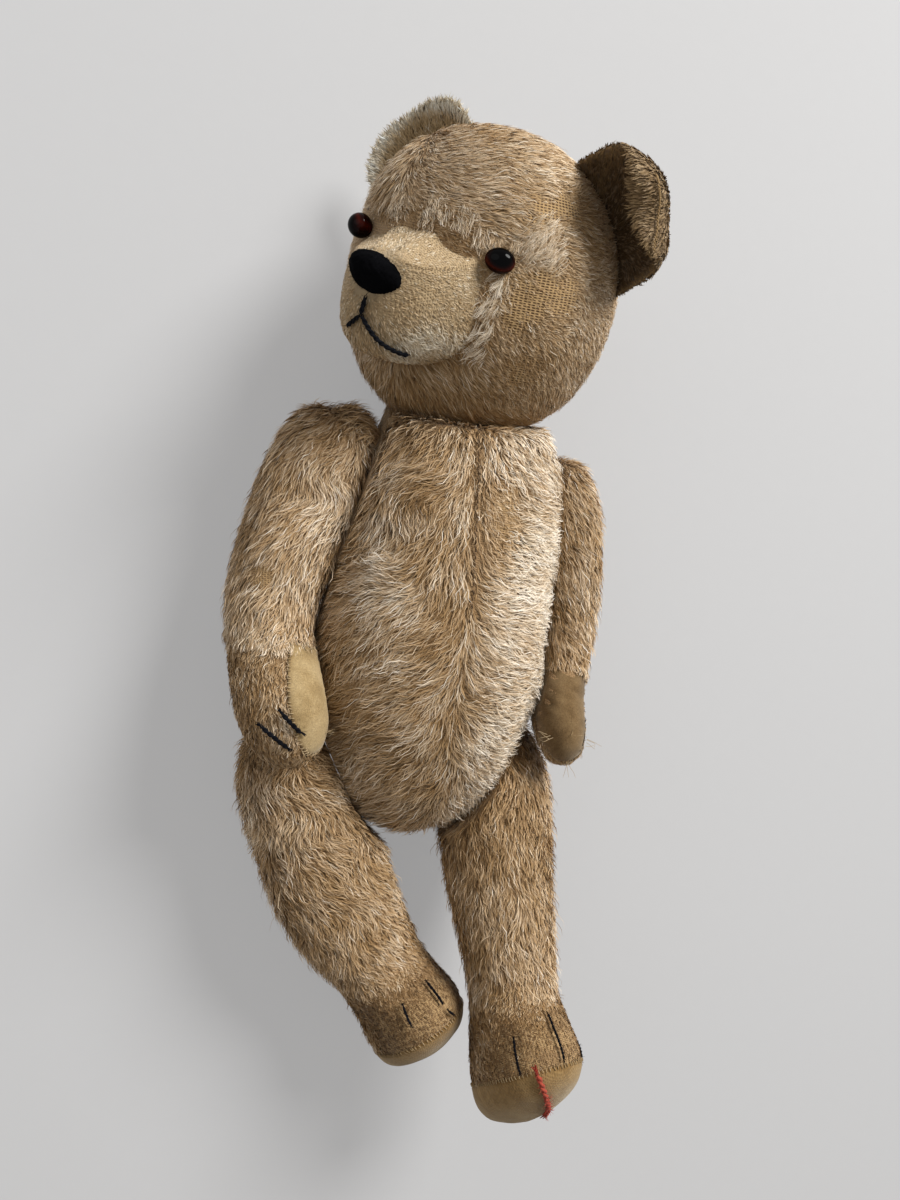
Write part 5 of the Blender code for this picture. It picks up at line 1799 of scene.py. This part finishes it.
pad_face = surface_of(closed(arm_form(ARM_L, 1.0)))
strays("paw_pad_left_loose_threads", pad_face,
       [((78, -48, -196), (0.7, -0.1, 0.5), 2), ((70, -47, -198), (-0.8, -0.2, -0.3), 4),
        ((92, -42, -203), (0.6, 0, -0.5), 4), ((80, -44, -212), (0.1, -0.2, -1), 3)],
       "arm_part_left", TAN_YARN, 51)
pad_face = surface_of(closed(arm_form(ARM_R, 1.0)))
strays("paw_pad_right_loose_threads", pad_face,
       [((-86, -66, -215), (0.5, -0.3, -0.6), 3), ((-72, -60, -205), (0.7, -0.1, -0.4), 3),
        ((-84, -50, -158), (0.5, -0.2, 0.4), 3)], "arm_part_right", TAN_YARN, 52, length=4.5)


# ==================================================================================== legs
def dress_leg(side):
    right = side == "right"
    fit, rows, sole = (LEG_R_SET, LEG_R, SOLE_R) if right else (LEG_L_SET, LEG_L, SOLE_L)
    joint, part = "hip_" + side, "leg_part_" + side
    down, fwd, lat = leg_axes(fit)
    at = np.array(fit[0])
    seam = at + down * sole[0]
    out = down + fwd * sole[1]
    leg = closed(leg_form(fit, rows, LEG_INSET))
    own = lambda p: clear_limb(p, joint, PILE_GAP)
    # the foot carries short pile, so its backing comes back out to the form
    full = closed(leg_form(fit, rows, FOOT_INSET))["pts"]
    m = step(dot(leg["pts"] - at, down), 128, 150)[:, None]
    leg["pts"] = clear_limb(leg["pts"] * (1 - m) + full * m, joint, SKIN_GAP)
    leg = recomputed(leg)

    def down_at(p):
        return dot(p - at, down)

    def front_of(p):
        return dot(p - at, fwd)

    def below_sole(p):
        return dot(p - seam, unit(out)) > 0.5

    def foot_bare(p):
        top = step(down_at(p), 144, 160) * step(front_of(p), 10, 28)
        return np.clip(top * (0.80 + 0.55 * mottle(p, 8, 111)), 0, 1)

    def leg_density(p, n):
        d = np.where(below_sole(p) | under_disc(p, joint), 0, 1.0)
        d = d * (1 - 0.55 * foot_bare(p)) * (0.8 + 0.35 * mottle(p, 13, 112))
        return d * (1 + 0.6 * step(down_at(p), 140, 155))

    def leg_flow(p, n):
        toe = step(down_at(p), 132, 158)[:, None]
        out = lat * (0.2 if right else -0.15)
        return down * (1 - 0.55 * toe) + fwd * (0.75 * toe) + out + 0.12 * drift(p, 16, 113)

    def leg_turn(p, n):
        thigh = ball(p, (-95, -25, -262), 34, 0.5) if right else 0
        return np.radians(38 + 40 * thigh) * mottle(p, 15, 114) + np.radians(24) * drift(p, 7, 115)[:, 1]

    def leg_length(p, n):
        d = np.interp(down_at(p) + 7 * mottle(p, 11, 121),
                      (-30, 0, 100, 126, 139, 149, 200), (11, 12, 11.5, 9.5, 5.5, 3.6, 3.2))
        d = d + 4.0 * step(front_of(p), 22, 6) * step(down_at(p), 134, 150) * step(down_at(p), 188, 172)
        return d * (1 - 0.35 * foot_bare(p)) * (1 + 0.15 * mottle(p, 15, 116))

    def leg_tone(p, n):
        s = down_at(p)
        t = 0.56 + 0.12 * mottle(p, 18, 117) + 0.09 * mottle(p, 8, 118)
        # painted shade: the feet darker, most toward the toes
        foot = step(s + 9 * mottle(p, 11, 121), 130, 156)
        t = t - (0.34 - 0.22 * step(front_of(p), 22, 6)) * foot
        t = t - 0.08 * step(s, 90, 40) + 0.05 * mottle(p, 5, 120)
        if right:
            t = t + 0.16 * ball(p, (-97, -28, -264), 22, 0.7)
        else:
            t = t - 0.06 * step(s, 90, 50) * step(s, 0, 20)
        return t

    def leg_lift(p, n):
        outer = step(n[:, 0] * (-1 if right else 1), 0.3, 0.9)
        return (0.46 - 0.16 * step(down_at(p), 136, 150) + 0.3 * by_face(p, joint, 80, 12) + 0.20 * outer)

    skin_object("leg_%s_backing" % side, leg, part, BACKING, lambda p: p, ("leg_" + side,),
                np.clip(foot_bare(leg["pts"]) * 1.3, 0, 1))
    coat("leg_%s_pile" % side, leg, part, "pile", LONG_PILE, down=6200, top=18500, guard=1200, length=leg_length,
         flow=leg_flow, tone=leg_tone, density=leg_density, width=0.42, down_width=1.0, segs=2, lock=2.8,
         lift=leg_lift, pull=0.5, wave=1.0, stray=15, seed=401 + right, clear=own, turn=leg_turn, under=0.38,
         spread=0.10, pale=0.12)

    def ankle(p, n):
        return np.exp(-((down_at(p) - 138 - 5 * mottle(p, 11, 121)) / 4) ** 2) * ~below_sole(p) + 1e-9
    pile("leg_%s_ankle_fringe" % side, leg, part, "pile", SHORT_PILE, count=1100, length=4.2, flow=leg_flow,
         tone=0.56, density=ankle, lift=0.42, width=0.42, lock=4, wave=0.6, stray=20, seed=411 + right, clear=own,
         under=0.5)

    whole = closed(leg_form(fit, rows, -0.9, per=7, n=72))
    pad("foot_pad_%s_cloth" % side, whole, part, "felt", SOLE_CLOTH, "foot_pad_" + side, seam, out, fwd, None,
        proud=0.7, crown=0.5, wrinkle=lambda p: 0.25 * mottle(p, 11, 119), stitch=(2.2, 1.3, 0.24, TAN_YARN),
        seed=421 + right, clear=own)


for side in ("right", "left"):
    dress_leg(side)

leg_face = {"right": surface_of(closed(leg_form(LEG_R_SET, LEG_R, 0.0))),
            "left": surface_of(closed(leg_form(LEG_L_SET, LEG_L, 0.0)))}
for node, side, r, pts in (
        ("claw_thread_leg_right_1", "right", 0.9, [(11, -43, -361), (15, -47, -364), (20, -52, -369)]),
        ("claw_thread_leg_right_2", "right", 0.8, [(24, -53, -373), (26, -53, -374.5), (28, -52, -376)]),
        ("claw_thread_leg_right_3", "right", 0.8, [(-3, -48, -372), (-1, -51, -376), (3, -54, -381)]),
        ("claw_thread_leg_left_1", "left", 0.8, [(55, -89, -370), (55, -96, -376), (57, -101, -383)]),
        ("claw_thread_leg_left_2", "left", 0.8, [(76, -83, -359), (78, -95, -366), (80, -103, -375)]),
        ("claw_thread_leg_left_3", "left", 0.7, [(96, -84, -377), (97, -87, -381), (98, -89, -385)])):
    laid_yarn(node + "_yarn", node, leg_face[side], pts, r, "leg_part_" + side, DARK_YARN,
              lift=-1.2 if node.endswith("left_3") else 1.0, seed=61, fray=1.5)
laid_yarn("mending_yarn_red", "mending_thread_red", leg_face["left"],
          [(64, -106, -380), (68, -106, -386), (74, -102, -397), (79, -95, -407), (81, -86, -417)], 1.6,
          "leg_part_left", RED_YARN, lift=0.5, fray=4.5, seed=62)


# ==================================================================================== camera, floor, light
EYE_YAW, EYE_TILT, EYE_ROLL = 15.0, 3.0, 8.0
NECK_FROM_EYE = (14.0, 124.0, -558.0)
LENS = 25.98                       # mm, on a 36 mm frame
turn = (Matrix.Rotation(math.radians(-EYE_ROLL), 3, "Z") @ Matrix.Rotation(math.radians(EYE_TILT), 3, "X")
        @ Matrix.Rotation(math.radians(EYE_YAW), 3, "Y") @ Matrix(((1, 0, 0), (0, 0, 1), (0, -1, 0))))
to_bear = turn.transposed().to_4x4()
to_bear.translation = -(turn.transposed() @ Vector(NECK_FROM_EYE)) * MM
cam_data = bpy.data.cameras.new("camera")
cam_data.lens = LENS
cam_data.clip_start = 0.02
cam = bpy.data.objects.new("camera", cam_data)
cam.matrix_world = LIE @ to_bear
bpy.context.scene.collection.objects.link(cam)
bpy.context.scene.camera = cam


def backdrop_finish(name, base):
    m, t, b = finish(name, 0.9, 0.0, 0.2)
    no = noise_node(t, object_place(t), 90.0, 3.0)
    c = mix_node(t, (no, "Fac"), tuple(0.97 * v for v in base), base)
    t.links.new(c[0].outputs[2], b.inputs["Base Color"])
    bumped(t, b, (no, "Fac"), 0.08, 0.0004)
    glow = t.nodes.new("ShaderNodeEmission")
    glow.inputs["Color"].default_value = (0.585, 0.585, 0.590, 1)
    seen_by = t.nodes.new("ShaderNodeLightPath")
    half = sum_node(t, "MULTIPLY", (seen_by, "Is Camera Ray"), 0.5)
    both = t.nodes.new("ShaderNodeMixShader")
    t.links.new(half[0].outputs[0], both.inputs[0])
    t.links.new(b.outputs[0], both.inputs[1])
    t.links.new(glow.outputs[0], both.inputs[2])
    t.links.new(both.outputs[0], t.nodes["Material Output"].inputs["Surface"])
    return m


bm = bmesh.new()
bmesh.ops.create_grid(bm, x_segments=24, y_segments=24, size=6.0)
me = bpy.data.meshes.new("floor")
bm.to_mesh(me)
bm.free()
me.materials.append(backdrop_finish("floor_pale", (0.60, 0.605, 0.615)))
floor = bpy.data.objects.new("floor", me)
bpy.context.scene.collection.objects.link(floor)


def area(name, at_eye, target, size, power, colour):
    """Soft lamp placed in the viewer's axes (mm from the bear's middle), aimed at it."""
    lamp = bpy.data.lights.new(name, "AREA")
    lamp.shape = "DISK"
    lamp.size = size
    lamp.energy = power
    lamp.color = colour
    ob = bpy.data.objects.new(name, lamp)
    axes = cam.matrix_world.to_3x3()
    mid = LIE @ (Vector(target) * MM)
    pos = mid + axes @ (Vector(at_eye) * MM)
    ob.location = pos
    ob.rotation_euler = (mid - pos).to_track_quat("-Z", "Y").to_euler()
    bpy.context.scene.collection.objects.link(ob)


area("key_window", (2300, 1800, 1550), (0, 0, -120), 1.5, 150.0, (1.0, 0.985, 0.96))
area("fill_soft", (-700, 500, 1500), (0, 0, -140), 1.6, 4.0, (0.96, 0.975, 1.0))

world = bpy.data.worlds.new("soft_room")
bpy.context.scene.world = world
world.use_nodes = True
wt = world.node_tree
bg = wt.nodes["Background"]        # lights the bear; `seen` is the plain grey behind it
bg.inputs["Color"].default_value = (1.0, 0.925, 0.845, 1)
bg.inputs["Strength"].default_value = 0.27
seen = wt.nodes.new("ShaderNodeBackground")
seen.inputs["Color"].default_value = (0.62, 0.635, 0.65, 1)
seen.inputs["Strength"].default_value = 1.0
path = wt.nodes.new("ShaderNodeLightPath")
ray = wt.nodes.new("ShaderNodeMath")
ray.operation = "MAXIMUM"
mixed = wt.nodes.new("ShaderNodeMixShader")
wt.links.new(path.outputs["Is Camera Ray"], ray.inputs[0])
wt.links.new(path.outputs["Is Glossy Ray"], ray.inputs[1])
wt.links.new(ray.outputs[0], mixed.inputs[0])
wt.links.new(bg.outputs[0], mixed.inputs[1])
wt.links.new(seen.outputs[0], mixed.inputs[2])
wt.links.new(mixed.outputs[0], wt.nodes["World Output"].inputs["Surface"])
bpy.context.scene.view_settings.view_transform = "Standard"
